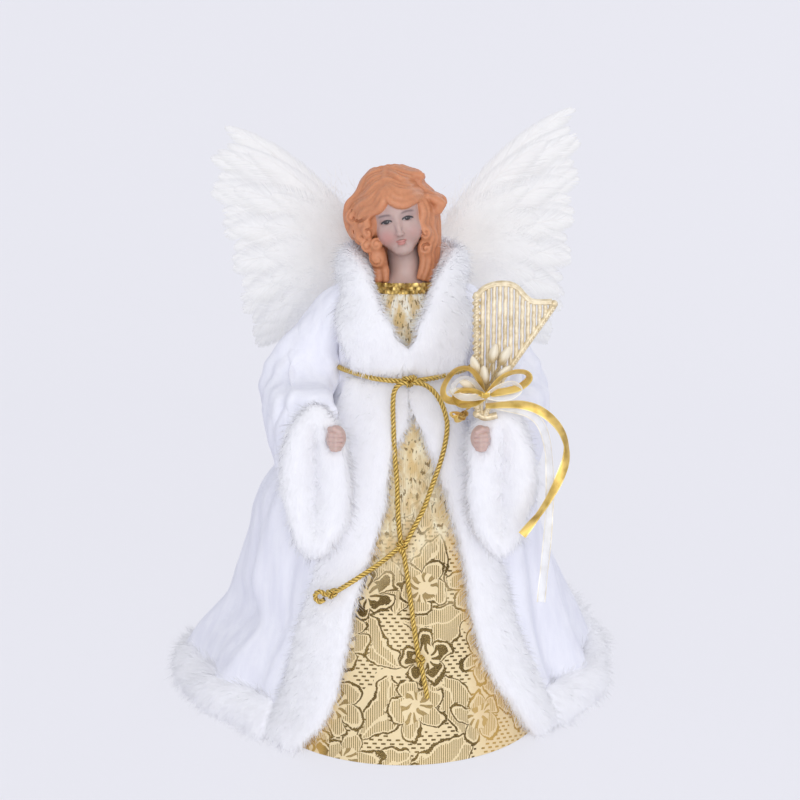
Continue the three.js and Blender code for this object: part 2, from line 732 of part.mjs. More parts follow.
function cuffFur(side) {
  const rings = [];
  const steps = 18;
  const half = CUFF_THICKNESS / 2;
  for (let k = 0; k < steps; k += 1) {
    const turn = (2 * Math.PI * k) / steps;
    const [x, y, z] = CUFF_CENTRE;
    const spot = [x + CUFF_HALF_WIDTH * Math.sin(turn), y, z + CUFF_HALF_HEIGHT * Math.cos(turn)];
    const centre = new THREE.Vector3(...mirrored(side, spot));
    const outward = new THREE.Vector3(side * Math.sin(turn), 0, Math.cos(turn));
    const wide = outward.multiplyScalar(CUFF_FUR_WIDTH / 2);
    rings.push(ovalRing(centre, wide, new THREE.Vector3(0, half, 0), 8));
  }
  const wrist = solid(alongArm(side, ARM_WIRE + 2 * WIRE_CLEARANCE, SEAT));
  return geometryOf(solid(hoop(rings)).subtract(handSolid(side, HAND_CLEARANCE)).subtract(wrist));
}

function hand(side) {
  return geometryOf(handSolid(side, 0).subtract(solid(alongArm(side, ARM_WIRE + 2 * SEAT, SEAT))));
}

// Wings: feathers fan out from the root, each one a layer behind the last

const WING_PLANE = WAIST_HALF_DEPTH + SEAT + WING_PAD_DEPTH + SEAT + WING_WIRE / 2;
const WING_ROOT = CONE_HEIGHT + WING_RISE;
const wingSpot = (side, x, y, z) => [side * (WING_ROOT_HALF + x), WING_PLANE + y, WING_ROOT + z];
// Angle of each long feather from straight out, and its reach from the root
const LONG_FEATHERS = [
  [50, 117], [41, 113], [32, 104], [21, 90], [8, 83], [-9, 81], [-24, 82],
];
const QUILL_START = 9;

function feather(side, angle, reach, width, y, steps = 8) {
  const rings = [];
  const curl = radians(FEATHER_CURL);
  for (let k = 0; k <= steps; k += 1) {
    const t = 1 - (1 - k / steps) ** 1.5;
    const out = mix(QUILL_START, reach, t);
    const turn = radians(angle) + curl * (t * t - 0.4);
    const vane = (width / 2) * (0.1 + 0.9 * Math.sin(Math.PI * (0.05 + 0.93 * t ** 0.85)) ** 0.7);
    const centre = new THREE.Vector3(...wingSpot(side, out * Math.cos(turn), y, out * Math.sin(turn)));
    const across = new THREE.Vector3(-side * Math.sin(turn), 0, Math.cos(turn)).multiplyScalar(vane);
    rings.push(ovalRing(centre, across, new THREE.Vector3(0, FEATHER_THICKNESS / 2, 0), 4));
  }
  return loft(rings);
}

function wingCoverts(side) {
  const y = -(WING_WIRE / 2 + SEAT + FEATHER_THICKNESS / 2);
  const feathers = [];
  for (let k = 0; k < COVERTS; k += 1) {
    const place = k / (COVERTS - 1);
    feathers.push(solid(feather(side, mix(44, -30, place), mix(74, 58, place), COVERT_WIDTH, y, 5)));
  }
  const heart = ellipsoid(wingSpot(side, 22, y, 4), [17, FEATHER_THICKNESS / 2, 20], 12, 6);
  return geometryOf(feathers.reduce((whole, piece) => whole.add(piece), solid(heart)));
}

function wingDown(side) {
  const y = -(WING_WIRE / 2 + 2 * SEAT + FEATHER_THICKNESS + DOWN_THICKNESS / 2);
  return ellipsoid(wingSpot(side, 26, y, 12), [22, DOWN_THICKNESS / 2, 30], 14, 8);
}

function wingWire(side) {
  const route = [[0, 0, -18], [0, 0, -8], [1.5, 0, 2], [10, 0, 11], [34, 0, 36], [60, 0, 66]];
  return tube(route.map((spot) => wingSpot(side, ...spot)), WING_WIRE, 16);
}

function wingPad() {
  const half = WING_ROOT_HALF + 1;
  const outline = new THREE.Shape();
  outline.absellipse(0, 0, half, WING_PAD_HALF_HEIGHT, 0, 2 * Math.PI);
  const settings = { depth: WING_PAD_DEPTH, bevelEnabled: false, curveSegments: 12 };
  const pad = new THREE.ExtrudeGeometry(outline, settings);
  pad.rotateX(Math.PI / 2);
  const front = WING_PLANE - WING_WIRE / 2 - SEAT - WING_PAD_DEPTH;
  return pad.translate(0, front + WING_PAD_DEPTH, WING_ROOT - WING_PAD_DROP);
}

// Gold cord: belt, knots and hanging strands, routed by hand over robe and skirt

const BELT_KNOT = [3.4, -41.5, 193.6];
const LOWER_KNOT = [-0.6, -51.6, 109];
const SHORT_KNOT = [-36.2, -62.4, 87.6];
const LONG_KNOT = [8.7, -66.4, 52.6];
const LEFT_STRAND = [
  [0.4, -41.5, 190.3], [-4.4, -42, 187.5], [-5.2, -42.4, 182], [-5, -43.6, 172], [-4.6, -45, 162],
  [-4, -46.4, 152], [-3.2, -47.6, 142], [-2.8, -49, 132], [-2.4, -50.2, 122], [-1.4, -51.4, 112.7],
];
const RIGHT_STRAND = [
  [6.6, -41.5, 190.2], [12.6, -41.4, 189], [17.6, -41.4, 184], [21, -42, 178], [22.4, -43, 171],
  [21.6, -44.6, 163], [19.2, -46.2, 153], [15.4, -47.4, 142], [10.4, -48.6, 128], [5.4, -50.2, 118.4],
  [1.9, -51.4, 111.7],
];
const SHORT_END = [
  [-3.3, -53, 107.7], [-9.2, -57.6, 104], [-15, -61.6, 101], [-22, -65.2, 97.4], [-28.4, -65.4, 93.2],
  [-33.8, -63.5, 89.2],
];
const END_LOOP = [
  [-39.6, -61.1, 86.5], [-42, -61, 88], [-44.6, -59.6, 86.4], [-44.6, -59.4, 83.6], [-42.4, -60.6, 82.4],
];
const LONG_END = [
  [0.2, -52.6, 105.6], [1.2, -53.8, 100], [2.1, -55.2, 94.4], [3.2, -57.2, 86], [4.4, -59.2, 77.6],
  [5.6, -61.4, 68.6], [7.7, -65.2, 55.6],
];
const LONG_TIP = [[9.4, -67, 49.2], [10.6, -68.2, 43.6], [11.6, -69.6, 38.6], [12.4, -70.8, 34]];

function beltCord() {
  const knotAngle = (Math.atan2(BELT_KNOT[0], -BELT_KNOT[1]) * 180) / Math.PI;
  const knotHalfAngle = ((BELT_KNOT_HALF_WIDTH + SEAT) / -BELT_KNOT[1]) * (180 / Math.PI);
  const route = [];
  const steps = 26;
  for (let k = 0; k <= steps; k += 1) {
    const angle = mix(knotAngle + knotHalfAngle, knotAngle + 360 - knotHalfAngle, k / steps);
    const front = Math.max(0, Math.cos(radians(angle)));
    const radius = robeRadius(wrapped(angle), WAIST) + BELT_EASE + CORD / 2 + BELT_STAND_OFF * front ** 3;
    const spot = polar(angle, radius, WAIST - BELT_DROOP * front ** 6);
    route.push([spot.x, spot.y, spot.z]);
  }
  return tube(route, CORD, 32);
}

// Harp, bud spray and ribbon bow, held at the angel's left cuff

const HARP_BACK = CUFF_CENTRE[1] - CUFF_THICKNESS / 2 - SEAT;
const HARP_CUFF = mirrored(LEFT, CUFF_CENTRE);
const byCuff = ([x, z]) => [HARP_CUFF[0] + x, HARP_CUFF[2] + z];
// Where harp, spray and bow are tied together
const HOLD = byCuff([-8.7, 47.6]);
// Outlines in x and z, measured from the middle of the left cuff
const HARP_OUTLINE = [
  [-13.5, 37], [-14.5, 65], [-15.1, 96], [-11.5, 100.4], [-4.5, 102.6], [1.5, 102.4], [7.5, 99.6],
  [13.5, 95], [19.5, 93.2], [25.5, 93.4], [27.5, 91], [26.1, 87.6], [17.5, 77], [7.5, 63], [-1.5, 50],
  [-1.5, 34],
].map(byCuff);
const SPRAY = [HOLD[0], HARP_BACK - HARP_THICKNESS - BUD_RADIUS - SEAT, HOLD[1] + 0.4];
const BUDS = [
  [-13.6, 61], [-9.3, 56.6], [-4.8, 67], [0.5, 66], [-0.1, 57.6], [-16.9, 51.6], [-21.9, 48],
].map(byCuff);

// Height of the harp's outline at x, on its top or its bottom edge
function harpEdge(x, above) {
  const half = HARP_OUTLINE.length;
  let found = above ? -Infinity : Infinity;
  HARP_OUTLINE.forEach(([x0, z0], i) => {
    const [x1, z1] = HARP_OUTLINE[(i + 1) % half];
    if ((x0 - x) * (x1 - x) <= 0 && x0 !== x1) {
      const z = mix(z0, z1, (x - x0) / (x1 - x0));
      found = above ? Math.max(found, z) : Math.min(found, z);
    }
  });
  return found;
}

// A plate of the harp's plane, cut to an outline in x and z
function harpPlate(corners, thickness, back) {
  const outline = new THREE.Shape(corners.map((spot) => new THREE.Vector2(...spot)));
  const plate = new THREE.ExtrudeGeometry(outline, { depth: thickness, bevelEnabled: false });
  return plate.rotateX(Math.PI / 2).translate(0, back, 0);
}

function harp() {
  let frame = solid(harpPlate(HARP_OUTLINE, HARP_THICKNESS, HARP_BACK));
  const left = HARP_OUTLINE[2][0] + HARP_COLUMN;
  const right = HARP_OUTLINE[9][0] - HARP_BORDER;
  const pitch = (right - left) / (HARP_STRINGS + 1);
  const floor = (x) => Math.max(harpEdge(x, false) + HARP_BORDER, SPRAY[2] + HARP_FOOT);
  const roof = (x) => harpEdge(x, true) - HARP_BORDER;
  for (let k = 0; k <= HARP_STRINGS; k += 1) {
    const x0 = left + k * pitch + STRING_WIDTH / 2;
    const x1 = left + (k + 1) * pitch - STRING_WIDTH / 2;
    const corners = [[x0, floor(x0)], [x1, floor(x1)], [x1, roof(x1)], [x0, roof(x0)]];
    if (roof(x0) > floor(x0) && roof(x1) > floor(x1)) {
      frame = frame.subtract(solid(harpPlate(corners, HARP_THICKNESS + 2, HARP_BACK + 1)));
    }
  }
  return geometryOf(frame);
}

function budSpray() {
  const [x, y, z] = SPRAY;
  const pieces = [ellipsoid(SPRAY, [2.4, BUD_RADIUS, 2.6])];
  for (const [bx, bz] of BUDS) {
    const lean = Math.atan2(bx - x, bz - z);
    const bud = new THREE.SphereGeometry(1, 6, 5);
    bud.scale(BUD_RADIUS, BUD_RADIUS, BUD_LENGTH / 2).rotateY(lean).translate(bx, y, bz);
    pieces.push(bud);
    pieces.push(tube([[x, y, z], [(x + bx) / 2, y, (z + bz) / 2], [bx, y, bz]], 2 * STEM_RADIUS, 1, 4));
  }
  return geometryOf(joined(pieces));
}

// A flat ribbon along hand-chosen points, with the direction of its width for each direction of its line
function ribbon(points, widthFor, steps) {
  const line = new THREE.CatmullRomCurve3(points.map((spot) => new THREE.Vector3(...spot)));
  const rings = [];
  for (let k = 0; k <= steps; k += 1) {
    const forward = line.getTangent(k / steps);
    const across = widthFor(forward).normalize();
    const thin = new THREE.Vector3().crossVectors(across, forward).setLength(RIBBON_THICKNESS / 2);
    const wide = across.multiplyScalar(RIBBON_WIDTH / 2);
    const centre = line.getPoint(k / steps);
    const corner = (a, b) => centre.clone().addScaledVector(wide, a).addScaledVector(thin, b);
    rings.push([corner(1, 1), corner(-1, 1), corner(-1, -1), corner(1, -1)]);
  }
  return loft(rings);
}

const BOW_PLANE = SPRAY[1] - BUD_RADIUS - RIBBON_WIDTH / 2 - SEAT;
const BOW_KNOT = [HOLD[0], BOW_PLANE, HOLD[1]];
// A bow loop is curled round this axis, and a hanging tail faces the front
const loopWidth = () => new THREE.Vector3(0.2, -0.8, 0.55);
const tailWidth = (forward) => new THREE.Vector3().crossVectors(forward, new THREE.Vector3(0, -1, 0));
const LEFT_LOOP = [
  [-10.1, 48.6], [-12.5, 56], [-17.5, 60.4], [-23.9, 59], [-28.9, 52], [-28.5, 46.4], [-22.5, 44.6],
  [-10.5, 46.6],
].map(byCuff);
const RIGHT_LOOP = [
  [-7.5, 48.6], [-2, 55], [4.5, 58.4], [10.5, 58.4], [12.1, 55.4], [7.5, 51.4], [0.5, 49.4],
  [-7.3, 48],
].map(byCuff);
const GOLD_TAIL = [
  [39.8, -78.4, 189], [44, -79, 189.4], [47.6, -79.4, 189.8], [51, -79.6, 190], [55.6, -79.4, 190],
  [60, -79, 189.2], [64, -78.6, 187.8], [67.6, -78.2, 185.8], [71.6, -77.8, 182.6],
  [75.2, -77.4, 178.6], [78, -77, 173.6],
  [79.6, -76.8, 167.6], [79.4, -76.6, 161.4], [77.6, -76.6, 155], [74.8, -76.6, 148], [71.2, -76.8, 141],
  [67.2, -77, 134.6], [63, -77.2, 129], [58.6, -77.6, 123.4],
];
const WHITE_TAIL = [
  [39.8, -74.6, 189.8], [44, -75.4, 189], [48, -75.8, 188.2], [52.6, -75.8, 187.2], [57.6, -75.4, 186],
  [62, -75, 184], [65.8, -74.2, 180.6], [68.4, -73.6, 176], [70.2, -73.2, 170], [71.4, -73, 163],
  [72, -72.8, 155], [72.4, -72.8, 146], [72.4, -72.8, 136], [72, -72.8, 126], [71.4, -72.8, 116],
  [70.6, -72.8, 106], [69.8, -72.8, 96], [69.2, -72.8, 86.6],
];

function goldBow() {
  const loopAt = (points, bulge) => points.map(([x, z], i) => {
    const swell = Math.sin((Math.PI * i) / (points.length - 1));
    return [x, BOW_PLANE - bulge * swell, z];
  });
  return geometryOf(joined([
    ellipsoid(BOW_KNOT, [3.6, RIBBON_WIDTH / 2, 3], 10, 8),
    ribbon(loopAt(LEFT_LOOP, 1.5), loopWidth, 16),
    ribbon(loopAt(RIGHT_LOOP, 1.5), loopWidth, 16),
  ]));
}

// Assembly

add('cone_base', coneBase(), 'card');
add('skirt', skirt(), 'brocade');
add('torso_form', torsoForm(), 'foam');
add('bodice', bodice(), 'brocade');
add('neckline_trim', necklineTrim(), 'gold');
add('porcelain_bust', porcelainBust(), 'porcelain');
add('robe_right_front', robeFront(RIGHT, RIGHT_FRONT_FUR), 'velvet');
add('robe_left_front', robeFront(LEFT, LEFT_FRONT_FUR), 'velvet');
add('robe_back', robeBack(), 'velvet');
add('fur_collar', furCollar(), 'fur');
add('front_fur_right', frontFur(RIGHT_FRONT_FUR), 'fur');
add('front_fur_left', frontFur(LEFT_FRONT_FUR), 'fur');
add('hem_fur', hemFur(), 'fur');
add('wing_pad', wingPad(), 'foam');

add('belt_cord', beltCord(), 'gold');
add('belt_knot', ellipsoid(BELT_KNOT, [BELT_KNOT_HALF_WIDTH, 2.4, 3]), 'gold');
add('cord_left_strand', tube(LEFT_STRAND, CORD, 13), 'gold');
add('cord_right_strand', tube(RIGHT_STRAND, CORD, 14), 'gold');
add('cord_lower_knot', ellipsoid(LOWER_KNOT, [3, 2.4, 3.4]), 'gold');
add('cord_short_end', tube(SHORT_END, CORD, 7), 'gold');
add('cord_short_knot', ellipsoid(SHORT_KNOT, [3, 2.6, 2.6]), 'gold');
add('cord_end_loop', tube(END_LOOP, CORD, 6), 'gold');
add('cord_long_end', tube(LONG_END, CORD, 8), 'gold');
add('cord_long_knot', ellipsoid(LONG_KNOT, [2.6, 2.4, 3]), 'gold');
add('cord_long_tip', tube(LONG_TIP, CORD, 4), 'gold');

for (const [side, name] of [[RIGHT, 'right'], [LEFT, 'left']]) {
  add(`${name}_arm_wire`, alongArm(side, ARM_WIRE, 0), 'wire');
  add(`${name}_sleeve`, sleeve(side), 'velvet');
  add(`${name}_cuff_fur`, cuffFur(side), 'fur');
  add(`${name}_hand`, hand(side), 'porcelain');
  add(`${name}_wing_wire`, wingWire(side), 'wire');
  LONG_FEATHERS.forEach(([angle, reach], i) => {
    const y = WING_WIRE / 2 + SEAT + FEATHER_THICKNESS / 2 + i * (FEATHER_THICKNESS + SEAT);
    add(`${name}_wing_feather_${i + 1}`, feather(side, angle, reach, FEATHER_WIDTH, y), 'feather');
  });
  add(`${name}_wing_coverts`, wingCoverts(side), 'feather');
  add(`${name}_wing_down`, wingDown(side), 'feather');
}

add('harp', harp(), 'paleGold');
add('bud_spray', budSpray(), 'bud');
add('gold_bow', goldBow(), 'gold');
add('gold_ribbon_tail', ribbon(GOLD_TAIL, tailWidth, 22), 'gold');
add('white_ribbon_tail', ribbon(WHITE_TAIL, tailWidth, 20), 'sheer');

export default topper;
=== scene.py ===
import math

import bmesh
import bpy
import numpy as np
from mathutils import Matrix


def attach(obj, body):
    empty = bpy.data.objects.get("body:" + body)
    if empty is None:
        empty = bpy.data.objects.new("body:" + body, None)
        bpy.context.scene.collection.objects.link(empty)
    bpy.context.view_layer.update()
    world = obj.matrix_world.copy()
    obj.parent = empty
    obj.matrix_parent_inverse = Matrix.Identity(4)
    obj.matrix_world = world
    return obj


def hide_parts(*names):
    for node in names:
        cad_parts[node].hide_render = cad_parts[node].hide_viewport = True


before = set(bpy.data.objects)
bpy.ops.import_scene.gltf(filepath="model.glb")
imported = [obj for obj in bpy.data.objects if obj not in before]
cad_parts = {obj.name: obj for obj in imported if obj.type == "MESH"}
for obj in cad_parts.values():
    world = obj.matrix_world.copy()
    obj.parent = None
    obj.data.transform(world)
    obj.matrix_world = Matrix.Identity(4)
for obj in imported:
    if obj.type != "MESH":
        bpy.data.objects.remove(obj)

MM = 0.001
scene = bpy.context.scene
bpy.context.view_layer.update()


# The camera stands where the photograph was taken, a little above the head and looking down.

LOOKS_DOWN = 12.73


def photo_camera():
    lens = bpy.data.cameras.new("photo_view")
    lens.sensor_width = 36
    lens.lens = 68.9
    lens.clip_end = 50
    camera = bpy.data.objects.new("photo_view", lens)
    camera.location = (-0.0016, -0.8, 0.355)
    camera.rotation_euler = (math.radians(90 - LOOKS_DOWN), 0, 0)
    scene.collection.objects.link(camera)
    scene.camera = camera


photo_camera()


# Geometry is worked out in millimetres.

def unit(vectors):
    return vectors / np.maximum(np.linalg.norm(vectors, axis=-1, keepdims=True), 1e-9)


def smooth(t):
    t = np.clip(t, 0, 1)
    return t * t * (3 - 2 * t)


def mix(a, b, t):
    return a + (b - a) * t


def bell(t):
    """1 at 0, falling away softly on both sides."""
    return np.exp(-(t ** 2))


# A cell's corners, and the numbers that tell one cell's swell from another's.
CORNERS = [(a, b, c) for a in (0, 1) for b in (0, 1) for c in (0, 1)]
CELL_MARKS = np.array([374761393, 668265263, 1440662683])
SEED_MARK = 974634777


def corner_share(part, corner):
    """How far a cell's corner counts at a point inside the cell."""
    x, y, z = (np.abs(1 - corner[k] - part[:, k]) for k in range(3))
    return x * y * z


def ripple(points, size, seed):
    """Smooth random swell from -1 to 1 over points, with lumps of the given size."""
    q = np.asarray(points, float) / size
    cell = np.floor(q).astype(np.int64)
    part = smooth(q - cell)
    total = np.zeros(len(q))
    for corner in CORNERS:
        mark = ((cell + corner) * CELL_MARKS).sum(1) + seed * SEED_MARK
        mark = (mark ^ (mark >> 13)) * 1274126177
        mark = mark ^ (mark >> 16)
        total += corner_share(part, corner) * ((mark & 0xFFFF) / 32767.5 - 1)
    return total


def run_of(line):
    """How far along the line each of its points is."""
    return np.concatenate([[0], np.cumsum(np.linalg.norm(np.diff(line, axis=0), axis=1))])


def even(line, count):
    """The same line with evenly spaced points."""
    far = run_of(line)
    at = np.linspace(0, far[-1], count)
    return np.stack([np.interp(at, far, line[:, k]) for k in range(line.shape[1])], 1)


def long_of(line):
    return float(np.linalg.norm(np.diff(line, axis=0), axis=1).sum())


def curve(points, count):
    """A smooth line through the points."""
    p = np.asarray(points, float)
    ends = np.vstack([2 * p[0] - p[1], p, 2 * p[-1] - p[-2]])
    t = np.linspace(0, 1, 24, endpoint=False)[:, None]
    runs = []
    for k in range(len(p) - 1):
        a, b, c, d = ends[k:k + 4]
        bend = 2 * a - 5 * b + 4 * c - d
        twist = 3 * b - a - 3 * c + d
        runs.append(0.5 * (2 * b + (c - a) * t + bend * t**2 + twist * t**3))
    return even(np.vstack([*runs, p[-1:]]), count)


def frames(line):
    """Directions along, beside and over a line, turning as little as they can."""
    along = unit(np.gradient(line, axis=0))
    side = np.zeros_like(line)
    first = np.cross(along[0], (0, 0, 1))
    if np.linalg.norm(first) < 0.1:
        first = np.cross(along[0], (1, 0, 0))
    side[0] = unit(first)
    for k in range(1, len(line)):
        side[k] = unit(side[k - 1] - along[k] * (side[k - 1] @ along[k]))
    return along, side, np.cross(along, side)


def grid_faces(rows, columns, closed=False):
    """Quads over a grid of points that is stored row by row."""
    r = np.arange(rows - 1)[:, None] * columns
    c = np.arange(columns if closed else columns - 1)[None, :]
    n = (c + 1) % columns
    return np.stack([r + c, r + n, r + columns + n, r + columns + c], -1).reshape(-1, 4)


def halves(quads):
    """Two triangles for each quad."""
    return np.vstack([quads[:, :3], quads[:, [0, 2, 3]]])


# Cord: its plies, and the diameters in which they turn once.
PLIES = 3
LAY = 2.5


class Heap:
    """Points, faces and painted values gathered for one piece."""

    def __init__(self):
        self.points = []
        self.faces = []
        self.values = {}
        self.facing = []
        self.count = 0

    def add(self, points, *faces, facing=None, **values):
        points = np.asarray(points, float).reshape(-1, 3)
        self.points.append(points)
        self.facing.append(np.zeros_like(points) if facing is None else facing)
        self.faces.extend(np.asarray(f) + self.count for f in faces if len(f))
        for key, value in values.items():
            value = np.asarray(value, float)
            self.values.setdefault(key, []).append(np.broadcast_to(value, (len(points), *value.shape[1:])))
        self.count += len(points)
        return self

    def tube(self, line, radius, sides, **values):
        line = np.asarray(line, float)
        radius = np.broadcast_to(np.asarray(radius, float), len(line))
        _, side, up = frames(line)
        turn = np.linspace(0, 2 * np.pi, sides, endpoint=False)
        round_it = np.cos(turn)[None, :, None] * side[:, None] + np.sin(turn)[None, :, None] * up[:, None]
        points = (line[:, None] + radius[:, None, None] * round_it).reshape(-1, 3)
        n = len(points)
        ring = np.arange(sides)
        first = np.stack([np.full(sides, n), (ring + 1) % sides, ring], 1)
        last = np.stack([np.full(sides, n + 1), n - sides + ring, n - sides + (ring + 1) % sides], 1)
        ends = np.vstack([points, line[:1], line[-1:]])
        return self.add(ends, grid_faces(len(line), sides, True), first, last, **values)

    def rope(self, line, diameter, sides=7):
        """Cord of plies wound round the line, with painted shade in the grooves between them."""
        far = run_of(line)
        _, side, up = frames(line)
        for ply in range(PLIES):
            turn = 2 * np.pi * (far / (LAY * diameter) + ply / PLIES)
            wound = np.cos(turn)[:, None] * side + np.sin(turn)[:, None] * up
            self.tube(line + diameter * 0.28 * wound, diameter * 0.25, sides)
            rings = self.points[-1][:-2].reshape(len(line), sides, 3)
            off = np.linalg.norm(rings - line[:, None], axis=2).ravel()
            rise = np.append(np.clip(off / (diameter * 0.53), 0, 1), (0.5, 0.5))
            self.values.setdefault("rise", []).append(rise)
        return self

    def ball(self, centre, radii, around=14, down=9):
        a = np.linspace(0, 2 * np.pi, around, endpoint=False)
        d = np.linspace(0, np.pi, down)
        round_it = np.stack([
            np.sin(d)[:, None] * np.cos(a)[None], np.sin(d)[:, None] * np.sin(a)[None],
            np.broadcast_to(np.cos(d)[:, None], (down, around)),
        ], -1).reshape(-1, 3) * np.asarray(radii, float)
        return self.add(round_it + np.asarray(centre, float), grid_faces(down, around, True))

    def hairs(self, roots, start, finish, length, width, rng, out=None, **values):
        """Tapered hairs that leave their roots one way and end another, shaded as the pile they stand in."""
        n = len(roots)
        s = np.array([0, 0.4, 0.75, 1.0])
        length = np.broadcast_to(length, n)[:, None, None]
        bend = start[:, None] * (s - s * s / 2)[None, :, None] + finish[:, None] * (s * s / 2)[None, :, None]
        line = roots[:, None] + length * bend
        grain = unit(start + finish)
        lean = rng.normal(size=(n, 3))
        side = np.cross(grain, lean if out is None else out + 0.4 * lean)
        side = unit(side) * np.broadcast_to(width, n)[:, None] / 2
        if out is not None:
            side = side * np.where((np.cross(side, grain) * out).sum(1, keepdims=True) < 0, -1, 1)
            shown = [(np.cross(side, way) * out).sum(1) for way in (start, finish)]
            turned = np.minimum(*shown) <= 0
            line[turned] = (roots[:, None] + length * grain[:, None] * s[None, :, None] * 0.8)[turned]
        points = np.empty((n, 7, 3))
        for level, wide in enumerate((1.0, 0.85, 0.5)):
            points[:, 2 * level] = line[:, level] - side * wide
            points[:, 2 * level + 1] = line[:, level] + side * wide
        points[:, 6] = line[:, 3]
        base = 7 * np.arange(n)[:, None]
        quads = np.vstack([base + [[0, 1, 3, 2]], base + [[2, 3, 5, 4]]])
        for key, value in values.items():
            values[key] = np.repeat(value, 7, axis=0)
        facing = None if out is None else np.repeat(out, 7, axis=0)
        return self.add(points.reshape(-1, 3), quads, base + [[4, 5, 6]], facing=facing, **values)

    def piece(self, name, material, body, nodes, slot):
        mesh = bpy.data.meshes.new(name)
        points = np.concatenate(self.points) * MM
        corners = np.concatenate([f.ravel() for f in self.faces])
        sizes = np.concatenate([np.full(len(f), f.shape[1]) for f in self.faces])
        mesh.vertices.add(len(points))
        mesh.vertices.foreach_set("co", points.astype(np.float32).ravel())
        mesh.loops.add(len(corners))
        mesh.loops.foreach_set("vertex_index", corners.astype(np.int32))
        mesh.polygons.add(len(sizes))
        mesh.polygons.foreach_set("loop_start", (np.cumsum(sizes) - sizes).astype(np.int32))
        mesh.update(calc_edges=True)
        for key, runs in self.values.items():
            values = np.concatenate(runs).astype(np.float32)
            flat = values.ndim == 1
            layer = mesh.attributes.new(key, "FLOAT" if flat else "FLOAT_VECTOR", "POINT")
            layer.data.foreach_set("value" if flat else "vector", values.ravel())
        facing = np.concatenate(self.facing)
        if facing.any():
            mesh.normals_split_custom_set_from_vertices(facing.tolist())
        mesh.materials.append(material)
        made = bpy.data.objects.new(name, mesh)
        scene.collection.objects.link(made)
        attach(made, body)
        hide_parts(*nodes)
        return made


def area_of(points, triangles):
    a, b, c = (points[triangles[:, k]] for k in range(3))
    return np.linalg.norm(np.cross(b - a, c - a), axis=1) / 2


def scatter(points, triangles, normals, count, rng):
    """Random spots spread evenly over a surface, with the way that it faces there."""
    area = area_of(points, triangles)
    pick = rng.choice(len(triangles), count, p=area / area.sum())
    u = np.sqrt(rng.random(count))[:, None]
    v = rng.random(count)[:, None]
    shares = (1 - u, u * (1 - v), u * v)
    corner = [triangles[pick, k] for k in range(3)]
    spots = sum(share * points[c] for share, c in zip(shares, corner))
    return spots, unit(sum(share * normals[c] for share, c in zip(shares, corner)))


def rounded(node, levels=2):
    """A node's own surface, rounded off: points, triangles and normals."""
    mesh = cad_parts[node].data.copy()
    work = bmesh.new()
    work.from_mesh(mesh)
    bmesh.ops.remove_doubles(work, verts=work.verts[:], dist=2e-6)
    bmesh.ops.join_triangles(work, faces=work.faces[:], angle_face_threshold=3.0, angle_shape_threshold=3.0)
    work.to_mesh(mesh)
    work.free()
    holder = bpy.data.objects.new("rounding", mesh)
    scene.collection.objects.link(holder)
    holder.modifiers.new("round", "SUBSURF").levels = levels
    shaped = holder.evaluated_get(bpy.context.evaluated_depsgraph_get())
    made = shaped.to_mesh()
    made.calc_loop_triangles()
    points = np.empty(len(made.vertices) * 3)
    made.vertices.foreach_get("co", points)
    normals = np.empty(len(made.vertices) * 3)
    made.vertex_normals.foreach_get("vector", normals)
    triangles = np.empty(len(made.loop_triangles) * 3, np.int32)
    made.loop_triangles.foreach_get("vertices", triangles)
    shaped.to_mesh_clear()
    bpy.data.objects.remove(holder)
    return points.reshape(-1, 3) / MM, triangles.reshape(-1, 3), normals.reshape(-1, 3)


# Finishes: a wire carries a value, colour or vector, and arithmetic on it adds the nodes.

class Wire:
    def __init__(self, paint, socket):
        self.paint = paint
        self.socket = socket

    def math(self, operation, *others):
        return self.paint.node("ShaderNodeMath", {"operation": operation}, dict(enumerate((self, *others))))

    def __add__(self, other):
        return self.math("ADD", other)

    def __sub__(self, other):
        return self.math("SUBTRACT", other)

    def __rsub__(self, other):
        return self.paint.node("ShaderNodeMath", {"operation": "SUBTRACT"}, {0: other, 1: self})

    def __mul__(self, other):
        return self.math("MULTIPLY", other)

    def __truediv__(self, other):
        return self.math("DIVIDE", other)

    def __pow__(self, other):
        return self.math("POWER", other)

    def __lt__(self, other):
        return self.math("LESS_THAN", other)

    def __gt__(self, other):
        return self.math("GREATER_THAN", other)

    def __abs__(self):
        return self.math("ABSOLUTE")

    __radd__ = __add__
    __rmul__ = __mul__

    def sin(self):
        return self.math("SINE")

    def cos(self):
        return self.math("COSINE")

    def fract(self):
        return self.math("FRACT")

    def floor(self):
        return self.math("FLOOR")

    def root(self):
        return self.math("SQRT")

    def most(self, other):
        return self.math("MAXIMUM", other)

    def angle_to(self, other):
        return self.math("ARCTAN2", other)

    def fade(self, start, end):
        """0 at start and 1 at end, with soft ends."""
        settings = {"interpolation_type": "SMOOTHSTEP"}
        return self.paint.node("ShaderNodeMapRange", settings, {0: self, 1: start, 2: end, 3: 0.0, 4: 1.0})

    def mix(self, zero, one):
        """One colour at 0 and another at 1."""
        return self.paint.node("ShaderNodeMix", {"data_type": "RGBA"}, {0: self, 6: zero, 7: one}, 2)

    def parts(self):
        return self.paint.node("ShaderNodeSeparateXYZ", None, {0: self}, (0, 1, 2))


